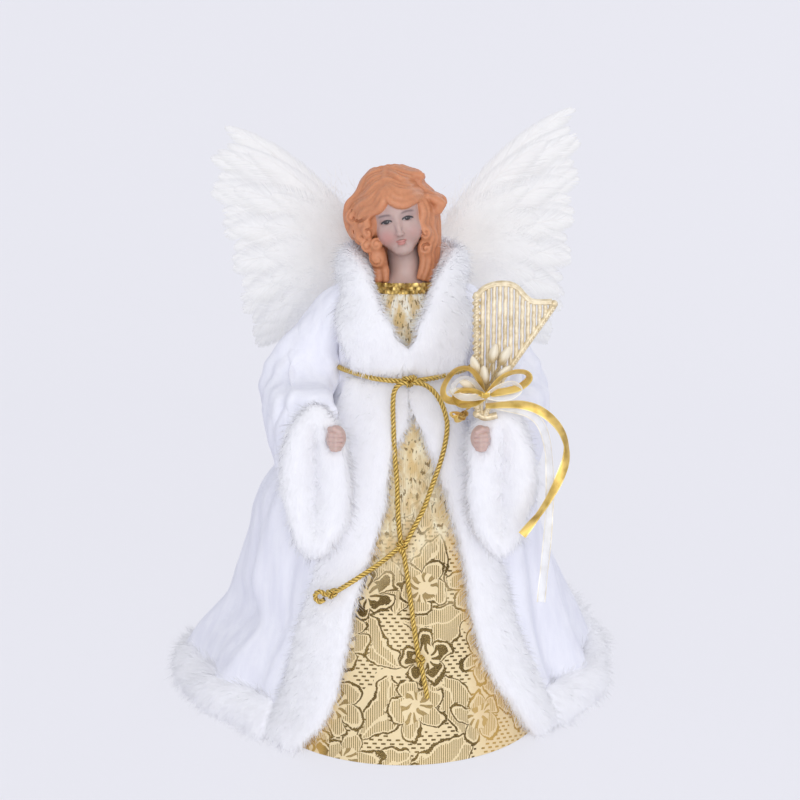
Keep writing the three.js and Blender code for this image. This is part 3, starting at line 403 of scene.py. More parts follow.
class Bench:
    """A tree of nodes and the one way of adding to it."""

    def __init__(self, owner):
        owner.use_nodes = True
        self.tree = owner.node_tree
        self.tree.nodes.clear()

    def put(self, socket, value):
        if isinstance(value, Wire):
            self.tree.links.new(value.socket, socket)
        elif isinstance(value, (tuple, list)) and len(value) == 3 and len(socket.default_value) == 4:
            socket.default_value = (*value, 1.0)
        else:
            socket.default_value = value

    def node(self, kind, settings=None, sockets=None, out=0):
        node = self.tree.nodes.new(kind)
        for key, value in (settings or {}).items():
            setattr(node, key, value)
        for key, value in (sockets or {}).items():
            self.put(node.inputs[key], value)
        if isinstance(out, tuple):
            return [Wire(self, node.outputs[k]) for k in out]
        return Wire(self, node.outputs[out])

    def seen(self):
        """1 where the camera looks, also in a reflection or through something clear."""
        straight, mirrored, through = self.node(
            "ShaderNodeLightPath", out=("Is Camera Ray", "Is Glossy Ray", "Is Transmission Ray"))
        return straight.most(mirrored).most(through)


class Paint(Bench):
    """One finish: its shader, its fixed values and the wires that feed it."""

    def __init__(self, name, **fixed):
        self.material = bpy.data.materials.new(name)
        super().__init__(self.material)
        self.shader = self.tree.nodes.new("ShaderNodeBsdfPrincipled")
        self.output = self.tree.nodes.new("ShaderNodeOutputMaterial")
        self.tree.links.new(self.shader.outputs[0], self.output.inputs[0])
        for key, value in fixed.items():
            self.feed(key.replace("_", " ").title(), value)

    def feed(self, name, value):
        self.put(self.shader.inputs[name], value)

    def place(self):
        """Where a point is on its piece, in metres."""
        return self.node("ShaderNodeTexCoord", out="Object")

    def painted(self, name, out="Vector"):
        return self.node("ShaderNodeAttribute", {"attribute_name": name}, out=out)

    def stretched(self, vector, by):
        return self.node("ShaderNodeVectorMath", {"operation": "MULTIPLY"}, {0: vector, 1: by})

    def noise(self, vector, scale, detail, roughness=0.5):
        sockets = {"Vector": vector, "Scale": scale, "Detail": detail, "Roughness": roughness}
        return self.node("ShaderNodeTexNoise", None, sockets)

    def bump(self, height, distance, strength):
        sockets = {"Strength": strength, "Distance": distance, "Height": height}
        self.feed("Normal", self.node("ShaderNodeBump", None, sockets))


def velvet_finish():
    paint = Paint("white_velvet", roughness=0.85, sheen_weight=0.35, sheen_roughness=0.4,
                  sheen_tint=(0.92, 0.94, 1.0))
    spot = paint.place()
    # Crushed pile: its streaks are painted sheen and painted shade, lighter and blue-grey bands in the base
    # colour.
    crush_shade = paint.noise(paint.stretched(spot, (1.0, 1.0, 0.16)), 150.0, 3.0, 0.6)
    pile = paint.noise(spot, 2300.0, 2.0)
    shade = crush_shade.fade(0.3, 0.7) * 0.7 + pile * 0.3
    paint.feed("Base Color", shade.mix((0.78, 0.785, 0.875), (0.875, 0.88, 0.945)))
    paint.bump(pile * 0.6 + crush_shade * 0.5, 0.0004, 0.45)
    return paint.material


def fur_finish():
    paint = Paint("white_fur", roughness=0.7, sheen_weight=0.2)
    tuft = paint.noise(paint.place(), 210.0, 3.0)
    # Painted shade: the fur is darker towards the roots and on the bed under the hairs; the tufts vary the
    # tone at random.
    tip = paint.painted("tip", "Fac")
    shade = tip * 0.6 + tuft * 0.5
    paint.feed("Base Color", shade.mix((0.83, 0.825, 0.875), (0.935, 0.935, 0.965)))
    return paint.material


def feather_finish():
    paint = Paint("white_feather", roughness=0.6, sheen_weight=0.15)
    warm = paint.painted("warm", "Fac")
    streak = paint.noise(paint.place(), 260.0, 3.0)
    clean = streak.mix((0.82, 0.815, 0.81), (0.90, 0.895, 0.88))
    # Painted shade: vanes turn grey towards the barb tips, where each feather lies over the next.
    clean = (paint.painted("rim", "Fac") * 0.6).mix(clean, (0.66, 0.66, 0.66))
    paint.feed("Base Color", (warm * (streak * 0.6 + 0.4)).mix(clean, (0.82, 0.76, 0.69)))
    return paint.material


# On the cloth, in millimetres: how far apart the motifs are and how far they stray.
REPEAT = 34.0
DRIFT = 14.0
FULL_TURN = 6.283


def brocade_finish():
    """Jacquard: cream thread on gold foil, with blossoms, leaves, hatching and rows of dashes; the foil's
    light and dark are painted reflection and painted glints.
    """
    paint = Paint("gold_brocade")
    flat = paint.painted("cloth")
    u, v, rise = flat.parts()
    sway, bow = (paint.noise(paint.stretched(flat, by), 0.07, 2.0) - 0.5
                 for by in ((1.0, 1.0, 0.0), (-1.0, 0.8, 0.0)))
    tooth = paint.noise(paint.stretched(flat, (1.0, 1.0, 0.0)), 1.1, 1.0) - 0.5
    cloth = paint.node("ShaderNodeCombineXYZ", None, {0: u + sway * DRIFT, 1: v + bow * DRIFT, 2: 0.0})

    def motif(offset, randomness):
        moved = paint.node("ShaderNodeVectorMath", {"operation": "ADD"}, {0: cloth, 1: offset})
        settings = {"voronoi_dimensions": "2D", "feature": "F1"}
        sockets = {"Vector": moved, "Scale": 1.0 / REPEAT, "Randomness": randomness}
        colour, centre = paint.node("ShaderNodeTexVoronoi", settings, sockets, ("Color", "Position"))
        away = paint.node("ShaderNodeVectorMath", {"operation": "SUBTRACT"}, {0: moved, 1: centre})
        chance, second, _ = colour.parts()
        x, y, _ = away.parts()
        return x, y, chance, second

    x, y, chance, second = motif((3.0, 8.0, 0.0), 0.6)
    radius = (x * x + y * y).root()
    angle = y.angle_to(x) + chance * FULL_TURN
    petal = abs((angle * 2.5).cos()) ** 0.7
    reach = (petal * 0.48 + 0.52) * (second * 4.5 + 12.0)
    edge = radius - reach + tooth * 1.3
    bloom = edge < 0.0
    x2, y2, chance2, second2 = motif((61.0, 37.0, 0.0), 0.75)
    lean = chance2 * FULL_TURN
    long = x2 * lean.cos() + y2 * lean.sin()
    wide = y2 * lean.cos() - x2 * lean.sin() + long * long * 0.02
    half = (1.0 - (long / 20.0) * (long / 20.0)) * (second2 * 3.5 + 7.4)
    leaf_edge = abs(wide) - half + tooth * 1.1
    leaf = (leaf_edge < 0.0) * (edge > 2.2)
    hatch = (u / 1.15).fract() < 0.5
    row = (v / 2.0).floor()
    dash = ((u / 4.6 + row * 0.37).fract() < 0.5) * ((v / 2.0).fract() < 0.45)
    solid_bloom = chance > 0.72
    petal_fill = solid_bloom + (1.0 - solid_bloom) * hatch
    ray = ((angle * 8.0).cos() > 0.15) * (radius < 7.4) * (radius > 2.6)
    inside = (radius > 7.4) * petal_fill + ray
    midrib = abs(wide) < 0.6
    ground = dash * (paint.noise(cloth, 0.06, 1.0) > 0.45)
    gold = ground * (1.0 - bloom) * (1.0 - leaf)
    gold = gold + leaf * (1.0 - bloom) * (1.0 - midrib) * (hatch * (second2 > 0.22) + (second2 < 0.22))
    gold = gold + bloom * inside
    outline = (abs(edge + 0.7) < 0.7).most((abs(leaf_edge + 0.5) < 0.5) * leaf)
    contour = (abs(edge - 0.75) < 0.75).most((abs(leaf_edge - 0.6) < 0.6) * (edge > 1.8))
    gold = gold.most(contour) * (1.0 - outline)
    weft = ((v / 0.55).fract() - 0.5) * 2.0
    rib = 1.0 - weft * weft
    fibre = paint.noise(paint.stretched(cloth, (0.5, 2.4, 1.0)), 1.6, 3.0)
    # Painted reflection on the foil: paler towards the waist, dark brown in front, orange-gold towards the
    # sides, with painted glints; the broad patches also vary the thread's tone and thin the pattern.
    glint_speckle = paint.noise(paint.stretched(flat, (1.0, 1.0, 0.0)), 2.6, 1.0)
    broad_tone_and_reflection = paint.noise(cloth, 0.035, 2.0)
    top_reflection = (rise + (broad_tone_and_reflection - 0.5) * 0.9).fade(0.42, 0.86)
    side = paint.noise(cloth, 0.022, 1.0) * 0.5 + abs(u / v).fade(0.09, 0.18) * 0.5
    warm = side.fade(0.48, 0.66).mix((0.085, 0.052, 0.016), (0.62, 0.38, 0.10))
    deep = (glint_speckle * 1.1 + broad_tone_and_reflection * 0.35 - 0.2).fade(0.42, 0.9).mix(warm, (0.72, 0.50, 0.16))
    metal = top_reflection.mix(deep, glint_speckle.mix((0.68, 0.49, 0.21), (0.97, 0.82, 0.50)))
    hatched = leaf.most(bloom * (1.0 - solid_bloom)) * (1.0 - contour) * 0.42
    metal = hatched.mix(metal, (0.74, 0.54, 0.24))
    thread = (fibre * 0.6 + broad_tone_and_reflection * 0.4).mix((0.86, 0.66, 0.36), (0.99, 0.86, 0.57))
    # Painted reflection: the thread turns amber towards the sides, from the gold around it.
    thread = (side.fade(0.5, 0.75) * 0.35).mix(thread, (0.86, 0.60, 0.30))
    sparse = (rise + (broad_tone_and_reflection - 0.5) * 0.6).fade(0.46, 0.72)
    # Painted shading on the crinkled foil of the sparse upper cloth; on the bodice the foil is painted paler
    # still, painted light against the shade it sits in.
    crinkle_shading = paint.noise(paint.stretched(flat, (1.0, 0.4, 0.0)), 0.17, 3.0).fade(0.36, 0.62)
    bodice_light = rise.fade(1.0, 1.4)
    foil = crinkle_shading.mix((0.80, 0.59, 0.28), bodice_light.mix((1.0, 0.92, 0.68), (1.0, 0.98, 0.88)))
    thread = sparse.mix(thread, foil)
    gold = gold * (1.0 - sparse * 0.6)
    fleck = (paint.noise(paint.stretched(flat, (1.5, 0.6, 0.0)), 0.42, 3.0) > 0.6) * sparse
    paint.feed("Base Color", (fleck * 0.85).mix(gold.mix(thread, metal), (0.24, 0.15, 0.04)))
    paint.feed("Metallic", gold * 0.55 + 0.12)
    paint.feed("Roughness", 0.50 - gold * 0.16 + fibre * 0.14)
    paint.bump((1.0 - gold) * 0.8 + rib * 0.35 + fibre * 0.4, 0.0005, 0.7)
    return paint.material


def gold_cord_finish():
    paint = Paint("gold_cord", metallic=0.78)
    spot = paint.place()
    lurex = paint.noise(spot, 1500.0, 2.0)
    tone = paint.noise(spot, 160.0, 2.0)
    # Painted shade: near black in the grooves between the plies.
    rise = paint.painted("rise", "Fac").fade(0.5, 0.98)
    lit = (lurex * 0.7 + tone * 0.35).mix((0.50, 0.30, 0.03), (0.92, 0.70, 0.24))
    paint.feed("Base Color", rise.mix((0.11, 0.055, 0.004), lit))
    paint.feed("Roughness", lurex * 0.25 + 0.26)
    paint.bump(lurex, 0.0002, 0.5)
    return paint.material


def ribbon_finish(name, deep, light, edge_deep, edge_light, metallic, alpha):
    paint = Paint(name, metallic=metallic, sheen_weight=0.1)
    across, along, _ = paint.painted("weave").parts()
    edge = (abs(across) - 0.72).fade(0.0, 0.08)
    weft = (along / 0.5).fract()
    fold = paint.noise(paint.place(), 130.0, 2.0)
    glint = (weft * 0.3 + (fold - 0.5) * 1.6 + 0.5).fade(0.2, 0.85)
    paint.feed("Base Color", edge.mix(glint.mix(deep, light), glint.mix(edge_deep, edge_light)))
    paint.feed("Roughness", 0.42 - edge * 0.12)
    paint.feed("Alpha", edge * (1.0 - alpha) + alpha)
    paint.bump(weft + edge * 1.5, 0.0002, 0.5)
    return paint.material


def porcelain_finish():
    """Bisque with the face and hair painted on: the face's own places are in millimetres from the chin."""
    paint = Paint("painted_porcelain", coat_weight=0.18, coat_roughness=0.25, subsurface_weight=0.06,
                  subsurface_scale=0.004)
    spot = paint.painted("face")
    x, depth, z = spot.parts()
    hair = paint.painted("hair", "Fac")
    front = depth < -9.0
    mottle = paint.noise(paint.place(), 240.0, 3.0)
    # Painted light: below the chin the skin is painted paler, against the shade that falls on the neck.
    pale = mottle.mix((0.53, 0.37, 0.325), (0.62, 0.44, 0.395))
    skin = z.fade(-1.0, -9.0).mix(mottle.mix((0.46, 0.315, 0.285), (0.54, 0.385, 0.345)), pale)
    ax = abs(x)

    def oval(cx, cz, rx, rz, soft, mirrored=True):
        px = ((ax if mirrored else x) - cx) / rx
        pz = (z - cz) / rz
        return (px * px + pz * pz).root().fade(1.0 + soft, 1.0 - soft) * front

    blush = oval(-7.0, 10.8, 4.2, 3.4, 0.9, False) * 0.6 + oval(7.2, 11.0, 4.0, 3.2, 0.9, False) * 0.25
    skin = blush.mix(skin, (0.55, 0.215, 0.195))
    skin = (oval(5.5, 20.5, 3.6, 1.7, 0.6) * 0.35).mix(skin, (0.27, 0.19, 0.21))
    skin = oval(5.5, 18.9, 2.35, 0.85, 0.2).mix(skin, (0.32, 0.27, 0.28))
    skin = oval(5.45, 18.9, 1.45, 0.95, 0.15).mix(skin, (0.014, 0.010, 0.012))
    arch = z - 19.75 + (ax - 5.3) * (ax - 5.3) * 0.12
    lash = abs(arch).fade(0.7, 0.3) * abs((ax - 5.5) / 3.1).fade(1.05, 0.85) * front
    skin = lash.mix(skin, (0.022, 0.016, 0.02))
    # Painted highlight: a small pale glint in each eye.
    skin = (oval(5.0, 19.2, 0.22, 0.22, 0.3) * 0.3).mix(skin, (0.8, 0.8, 0.8))
    lid = abs(z - 17.7 - (ax - 5.4) * (ax - 5.4) * 0.12).fade(0.4, 0.12)
    lid = lid * abs((ax - 5.5) / 2.6).fade(1.05, 0.85) * front
    skin = (lid * 0.45).mix(skin, (0.20, 0.10, 0.09))
    brow_line = z - 22.4 + (ax - 5.6) * (ax - 5.6) * 0.045
    brow = abs(brow_line).fade(0.95, 0.1) * abs((ax - 6.0) / 4.2).fade(1.0, 0.5) * front
    skin = (brow * 0.75).mix(skin, (0.14, 0.10, 0.105))
    nostril = oval(1.1, 11.1, 0.5, 0.35, 0.5)
    skin = (nostril * 0.55).mix(skin, (0.24, 0.10, 0.09))
    lips = oval(1.1, 8.15, 1.75, 0.72, 0.25).most(oval(0.0, 7.05, 2.1, 0.9, 0.25, False))
    skin = (lips * 0.64).mix(skin, (0.53, 0.15, 0.13))
    part = abs(z - 7.7 - ax * 0.06).fade(0.28, 0.06) * (ax / 2.8).fade(1.0, 0.8) * front
    skin = (part * 0.5).mix(skin, (0.24, 0.07, 0.06))
    strand = paint.noise(paint.place(), 520.0, 2.0)
    # Painted shade in the hair's creases and painted highlight on its raised locks, where the paint is also
    # rubbed.
    rub = paint.painted("rise", "Fac")
    curl = (strand * 0.25 + rub * 0.9).fade(0.1, 0.95).mix((0.36, 0.125, 0.05), (0.70, 0.30, 0.15))
    curl = (rub.fade(0.75, 1.1) * mottle * 0.5).mix(curl, (0.60, 0.36, 0.25))
    paint.feed("Base Color", hair.mix(skin, curl))
    paint.feed("Roughness", hair * 0.12 + 0.42)
    paint.bump(strand * hair, 0.0005, 0.3)
    return paint.material


def gilt_finish(name, deep, light, metallic):
    paint = Paint(name, metallic=metallic)
    spot = paint.place()
    cast = paint.noise(spot, 420.0, 3.0)
    rub = paint.noise(spot, 70.0, 2.0)
    paint.feed("Base Color", (cast * 0.6 + rub * 0.5).fade(0.25, 0.8).mix(deep, light))
    paint.feed("Roughness", cast * 0.25 + 0.25)
    paint.bump(cast, 0.0003, 0.5)
    return paint.material


def bud_finish():
    paint = Paint("cream_buds", roughness=0.5, sheen_weight=0.1)
    rise = paint.painted("rise", "Fac")
    vein = paint.noise(paint.stretched(paint.place(), (1.0, 1.0, 0.3)), 620.0, 2.0)
    tone = (rise + vein * 0.3).fade(0.15, 0.75).mix((0.50, 0.37, 0.17), (0.84, 0.76, 0.60))
    paint.feed("Base Color", tone)
    paint.bump(vein, 0.0003, 0.4)
    return paint.material


def plain_finish(name, deep, light, size, roughness, metallic=0.0):
    """Card, foam, felt and wire: two tones in a grain of the given size."""
    paint = Paint(name, metallic=metallic)
    grain = paint.noise(paint.place(), 1.0 / (size * MM), 4.0, 0.6)
    paint.feed("Base Color", grain.fade(0.3, 0.7).mix(deep, light))
    paint.feed("Roughness", grain * 0.2 + roughness)
    paint.bump(grain, size * MM * 0.4, 0.4)
    return paint.material


VELVET = velvet_finish()
FUR = fur_finish()
FEATHER = feather_finish()
BROCADE = brocade_finish()
CORD = gold_cord_finish()
GOLD_RIBBON = ribbon_finish("gold_ribbon", (0.42, 0.25, 0.02), (0.85, 0.60, 0.16), (0.62, 0.40, 0.06),
                            (0.95, 0.74, 0.30), 0.72, 0.96)
SHEER_RIBBON = ribbon_finish("sheer_ribbon", (0.78, 0.76, 0.72), (0.92, 0.92, 0.91), (0.74, 0.66, 0.50),
                             (0.95, 0.91, 0.82), 0.1, 0.7)
PORCELAIN = porcelain_finish()
SEQUIN = gilt_finish("gold_sequins", (0.32, 0.18, 0.02), (0.90, 0.68, 0.26), 0.85)
PALE_GOLD = gilt_finish("pale_gold", (0.56, 0.43, 0.22), (0.97, 0.87, 0.66), 0.38)
BUDS = bud_finish()
CARD = plain_finish("grey_card", (0.38, 0.34, 0.28), (0.52, 0.47, 0.40), 0.8, 0.75)
FOAM = plain_finish("white_foam", (0.70, 0.70, 0.70), (0.82, 0.82, 0.82), 1.6, 0.7)
FELT = plain_finish("white_felt", (0.78, 0.77, 0.78), (0.90, 0.89, 0.89), 0.7, 0.85)
WIRE = plain_finish("bare_wire", (0.36, 0.35, 0.34), (0.55, 0.54, 0.53), 0.9, 0.3, 0.9)
WRAPPED_WIRE = plain_finish("cotton_wrapped_wire", (0.80, 0.79, 0.78), (0.91, 0.90, 0.89), 0.5, 0.8)


# Gold cord: the belt's two ends hang from its knot, meet in a lower knot and part again.

CORD_DIAMETER = 2.6
BELT_KNOT = (3.4, -41.5, 193.6)
LOWER_KNOT = (-0.6, -51.6, 109)
SHORT_KNOT = (-36.2, -62.4, 87.6)
LONG_KNOT = (8.7, -66.4, 52.6)
LEFT_STRAND = [
    (2.6, -43.2, 193), (-1.6, -43.4, 192.4), (-4.4, -42.6, 188.6), (-5.2, -42.4, 182), (-5, -43.6, 172),
    (-4.6, -45, 162), (-4, -46.4, 152), (-3.2, -47.6, 142), (-2.8, -49, 132),
    (-2.4, -50.2, 122), (-1.4, -51.4, 112.7),
]
LONG_END = [
    (0.2, -52.6, 105.6), (1.2, -53.8, 100), (2.1, -55.2, 94.4), (3.2, -57.2, 86), (4.4, -59.2, 77.6),
    (5.6, -61.4, 68.6), (7.7, -65.2, 55.6),
]
LONG_TIP = [(9.4, -67, 49.2), (10.6, -68.2, 43.6), (11.6, -69.6, 38.6), (12.4, -70.8, 34)]
RIGHT_STRAND = [
    (5.4, -43.2, 193), (10, -43, 192.2), (14.6, -42, 189), (18.6, -41.4, 183.6), (21, -42, 178),
    (22.4, -43, 171), (21.6, -44.6, 163), (19.2, -46.2, 153), (15.4, -47.4, 142),
    (10.4, -48.6, 128), (5.4, -50.2, 118.4), (1.9, -51.4, 111.7),
]
SHORT_END = [
    (-3.3, -53, 107.7), (-9.2, -57.6, 104), (-15, -61.6, 101), (-22, -65.2, 97.4), (-28.4, -65.4, 93.2),
    (-33.8, -63.5, 89.2),
]
END_LOOP = [
    (-39.6, -61.1, 86.5), (-42, -61, 88), (-44.6, -59.6, 86.4), (-44.6, -59.4, 83.6), (-42.4, -60.6, 82.4),
    (-40.2, -61.2, 84),
]


def overhand(count, depth):
    """The line of an overhand knot: its lobes reach 3 out and its crossings the depth."""
    t = np.linspace(0, 2 * np.pi, count)
    return np.stack([np.sin(t) + 2 * np.sin(2 * t), -depth * np.sin(3 * t), np.cos(t) - 2 * np.cos(2 * t)], 1)


def knot_piece(name, centre, radii, nodes):
    """An overhand knot pulled tight round the cord."""
    inner = np.asarray(radii, float) - CORD_DIAMETER * 0.42
    line = np.asarray(centre) + overhand(90, 1.5) / (3.0, 1.5, 3.0) * np.maximum(inner, 0.8)
    return Heap().rope(line, CORD_DIAMETER * 0.86, sides=5).piece(name, CORD, "figure", nodes, "gold_cord")


def cord_piece(name, route, nodes):
    rough = curve(route, 400)
    line = curve(route, int(long_of(rough) / 0.42))
    made = Heap().rope(line, CORD_DIAMETER).piece(name, CORD, "figure", nodes, "gold_cord")


knot_piece("tied_belt_knot", BELT_KNOT, (4.6, 2.8, 3.6), ["belt_knot"])
lower_knot = knot_piece("tied_lower_knot", LOWER_KNOT, (3.4, 2.7, 3.9), ["cord_lower_knot"])
short_knot = knot_piece("tied_short_knot", SHORT_KNOT, (3.3, 2.8, 3.0), ["cord_short_knot"])
long_knot = knot_piece("tied_long_knot", LONG_KNOT, (2.9, 2.7, 3.4), ["cord_long_knot"])
cord_piece("twisted_cord_left", [*LEFT_STRAND, LOWER_KNOT, *LONG_END, LONG_KNOT, *LONG_TIP],
           ["cord_left_strand", "cord_long_end", "cord_long_tip"])
cord_piece("twisted_cord_right", [*RIGHT_STRAND, LOWER_KNOT, *SHORT_END, SHORT_KNOT, *END_LOOP],
           ["cord_right_strand", "cord_short_end", "cord_end_loop"])


# Ribbon: the bow's loops and the two long tails that hang from it.

RIBBON_WIDTH = 4.4
GOLD_TAIL = [
    (39.8, -78.4, 189), (44, -79, 189.4), (47.6, -79.4, 189.8), (51, -79.6, 190), (55.6, -79.4, 190),
    (60, -79, 189.2), (64, -78.6, 187.8), (67.6, -78.2, 185.8), (71.6, -77.8, 182.6), (75.2, -77.4, 178.6),
    (78, -77, 173.6), (79.6, -76.8, 167.6), (79.4, -76.6, 161.4), (77.6, -76.6, 155), (74.8, -76.6, 148),
    (71.2, -76.8, 141), (67.2, -77, 134.6), (63, -77.2, 129), (58.6, -77.6, 123.4),
]
WHITE_TAIL = [
    (39.8, -74.6, 189.8), (44, -75.4, 189), (48, -75.8, 188.2), (52.6, -75.8, 187.2), (57.6, -75.4, 186),
    (62, -75, 184), (65.8, -74.2, 180.6), (68.4, -73.6, 176), (70.2, -73.2, 170), (71.4, -73, 163),
    (72, -72.8, 155), (72.4, -72.8, 146), (72.4, -72.8, 136), (72, -72.8, 126), (71.4, -72.8, 116),
    (70.6, -72.8, 106), (69.8, -72.8, 96), (69.2, -72.8, 86.6),
]


def ribbon(heap, line, wide, width, cup=0.35):
    """A strip along a line: wide gives the way across it at each point."""
    along = unit(np.gradient(line, axis=0))
    wide = unit(wide - along * (wide * along).sum(1, keepdims=True))
    face = np.cross(along, wide)
    far = run_of(line)
    across = np.linspace(-1, 1, 9)
    points = line[:, None] + wide[:, None] * across[None, :, None] * width / 2
    points = points + face[:, None] * (cup * (1 - across**2))[None, :, None]
    weave = np.stack(np.broadcast_arrays(across[None, :], far[:, None], 0.0), -1)
    heap.add(points, grid_faces(len(line), 9), weave=weave.reshape(-1, 3))


def tail_piece(name, route, twist, material, node, slot):
    line = curve(route, 150)
    along = unit(np.gradient(line, axis=0))
    flat = np.cross(along, (0, -1, 0))
    turn = np.interp(np.linspace(0, 1, len(line)), np.linspace(0, 1, len(twist)), np.radians(twist))[:, None]
    wide = np.cos(turn) * unit(flat) + np.sin(turn) * np.cross(along, unit(flat))
    heap = Heap()
    ribbon(heap, line, wide, RIBBON_WIDTH)
    made = heap.piece(name, material, "left_arm", [node], slot)


tail_piece("gold_tail", GOLD_TAIL, (40, 20, -10, 25, 60, 20, -20, -35, 10), GOLD_RIBBON, "gold_ribbon_tail",
           "gold_ribbon")
tail_piece("sheer_tail", WHITE_TAIL, (20, -15, 10, 40, 15, -20, 5, 30, -5), SHEER_RIBBON, "white_ribbon_tail",
           "sheer_ribbon")


# Robe: velvet over the cone, gathered by the belt and falling in folds that spread to the hem.

CONE_HEIGHT = 186
CONE_FOOT = 76.8
CONE_TOP = 25.8
SLOPE = (CONE_FOOT - CONE_TOP) / CONE_HEIGHT
SKIRT_OFF = 1.1
WAIST = 195
ARMHOLE = 215.7
YOKE = 235
NAPE = 236
SIDE_SEAM = 95
HEM_PLAN = np.array([
    (-180, 130), (-160, 136), (-140, 142), (-122, 146), (-107, 142), (-93, 128), (-81, 111), (-69, 98),
    (-55, 90), (-40, 86), (40, 86), (55, 86), (66, 89), (76, 97), (86, 107), (96, 118), (108, 128),
    (122, 140), (136, 152), (150, 148), (165, 136), (180, 130),
])
ROBE_FOLDS = [
    (-70, -4, 5), (-80, 5, 6), (-93, -6, 7), (-107, 5, 8), (-124, -6, 8), (-141, 6, 8), (-158, -6, 8),
    (-175, 6, 8), (168, -6, 8), (152, 6, 8), (134, -6, 8), (116, 5, 8), (101, -6, 6), (90, 6, 5), (80, -5, 5),
]
ROBE_TOP = np.array([(9, 36, 31), (30, 36, 30), (45, 33, 27), (54, 28, 23), (70, 21, 19)])
RIGHT_FRONT = np.array([
    (2.4, -49, 15.5), (14, -48, 15.5), (37, -44, 15.5), (70, -38, 15.5), (100, -32, 15), (125, -27, 14),
    (147, -24, 13), (170, -23.5, 11), (191.5, -24, 9),
])
LEFT_FRONT = np.array([
    (2.4, 65, 12.5), (14, 61, 12.5), (35, 53, 12.5), (60, 49, 12), (87, 46, 11.5), (107, 43, 11),
    (127, 39, 11), (150, 32, 10.5), (170, 26, 10), (191.5, 24, 9),
])


def skirt_radius(z):
    return CONE_FOOT - SLOPE * z + SKIRT_OFF


def ellipse(angle, wide, deep):
    a = np.radians(angle)
    return wide * deep / np.hypot(deep * np.sin(a), wide * np.cos(a))


def polar(angle, radius, z):
    a = np.radians(angle)
    return np.stack(np.broadcast_arrays(radius * np.sin(a), -radius * np.cos(a), z), -1)


def angle_of(points):
    """Degrees round the figure: 0 in front, with its right side below 0."""
    return np.degrees(np.arctan2(points[:, 0], -points[:, 1]))


def turned(points, turn):
    """Points moved round the figure by degrees."""
    return polar(angle_of(points) + turn, np.hypot(points[:, 0], points[:, 1]), points[:, 2])


def signed(angle):
    """The same angle between -180 and 180 degrees."""
    return np.where(angle > 180, angle - 360, angle)


def hem_outer(angle):
    return np.interp(angle, HEM_PLAN[:, 0], HEM_PLAN[:, 1])


def hem_height(angle):
    return 23 + 30 * (1 - smooth(np.abs(angle - 133) / 24))


def robe_radius(angle, z):
    """How far the robe stands out: full at both sides over the hips, slack low on the right."""
    rise = np.maximum(z - CONE_HEIGHT, 9)
    top = ellipse(angle, np.interp(rise, ROBE_TOP[:, 0], ROBE_TOP[:, 1]),
                  np.interp(rise, ROBE_TOP[:, 0], ROBE_TOP[:, 2]))
    drop = np.clip((WAIST - z) / WAIST, 0, 1) ** 1.08
    fold = np.zeros_like(angle * 1.0)
    for centre, depth, half in ROBE_FOLDS:
        away = np.abs((angle - centre + 540) % 360 - 180)
        fold = fold + depth * bell(away / half)
    full = 11 * bell((z - 122) / 30) * bell((np.abs(angle) - 88) / 32)
    slack = 10 * bell((z - 54) / 15) * bell((angle + 88) / 28)
    return mix(top, hem_outer(angle) - 4, drop) + fold * drop + full - slack


def front_edge(rows, z):
    angle = np.interp(z, rows[:, 0], rows[:, 1])
    half = np.interp(z, rows[:, 0], rows[:, 2])
    thick = 13 * mix(1, 0.7, smooth((z - 150) / 40))
    reach = skirt_radius(np.minimum(z, WAIST)) + 0.6 + thick / 2
    return angle, np.degrees(np.arcsin(np.minimum(0.9, half / reach)))


def robe_panel(name, node, angle_at, top_at, columns, rows):
    """Velvet between two edges, from the hem up to its top, with the gathers under the belt."""
    c = np.linspace(0, 1, columns)[None, :]
    r = np.linspace(0, 1, rows)[:, None]
    seam = angle_at(np.broadcast_to(c, (1, columns)), np.full((1, columns), 120.0))
    z = mix(hem_height(signed(seam)) - 5, top_at(signed(seam)), r)
    angle = signed(angle_at(np.broadcast_to(c, z.shape), z))
    radius = robe_radius(angle, z)
    below = np.clip((WAIST - z) / 60, 0, 1)
    near_belt = bell((z - WAIST) / 34)
    flat = polar(angle, radius, z).reshape(-1, 3)
    hanging = np.stack([angle.ravel() * 1.1, z.ravel() * 0.16, 0 * z.ravel()], 1)
    crease = ripple(hanging, 6.5, 4).reshape(z.shape)
    fine = ripple(flat, 9, 8).reshape(z.shape)
    gather = np.cos(np.radians(angle * 31 + 40 * np.sin(np.radians(angle * 3)))) * near_belt
    out = crease * (0.6 + 2.6 * below) + fine * 0.35 + gather * 0.7 * np.clip(np.abs(z - WAIST) / 10, 0.1, 1)
    points = polar(angle, radius + out - 0.55, z)
    quads = grid_faces(rows, columns)
    made = Heap().add(points, quads).piece(name, VELVET, "figure", [node], "velvet")
    area = area_of(points.reshape(-1, 3), halves(quads)).sum()


def right_front_angle(c, z):
    edge, away = front_edge(RIGHT_FRONT, z)
    return mix(np.full_like(z, -SIDE_SEAM), edge - away + 5, c)


def left_front_angle(c, z):
    edge, away = front_edge(LEFT_FRONT, z)
    return mix(edge + away - 5, np.full_like(z, SIDE_SEAM), c)


def front_top(angle):
    """A front ends at the armhole and reaches the yoke towards its side seam."""
    return mix(ARMHOLE - 0.5, YOKE, smooth((np.abs(angle) - 55) / 25))


def back_angle(c, _):
    return SIDE_SEAM + (360 - 2 * SIDE_SEAM) * c


def back_top(angle):
    return mix(YOKE, NAPE, smooth((np.abs(angle) - SIDE_SEAM) / 50))


robe_panel("velvet_right_front", "robe_right_front", right_front_angle, front_top, 60, 150)
robe_panel("velvet_left_front", "robe_left_front", left_front_angle, front_top, 60, 150)
robe_panel("velvet_back", "robe_back", back_angle, back_top, 220, 160)


# Sleeves: velvet, rounded from the arm's own shape, creased where the elbow bends.


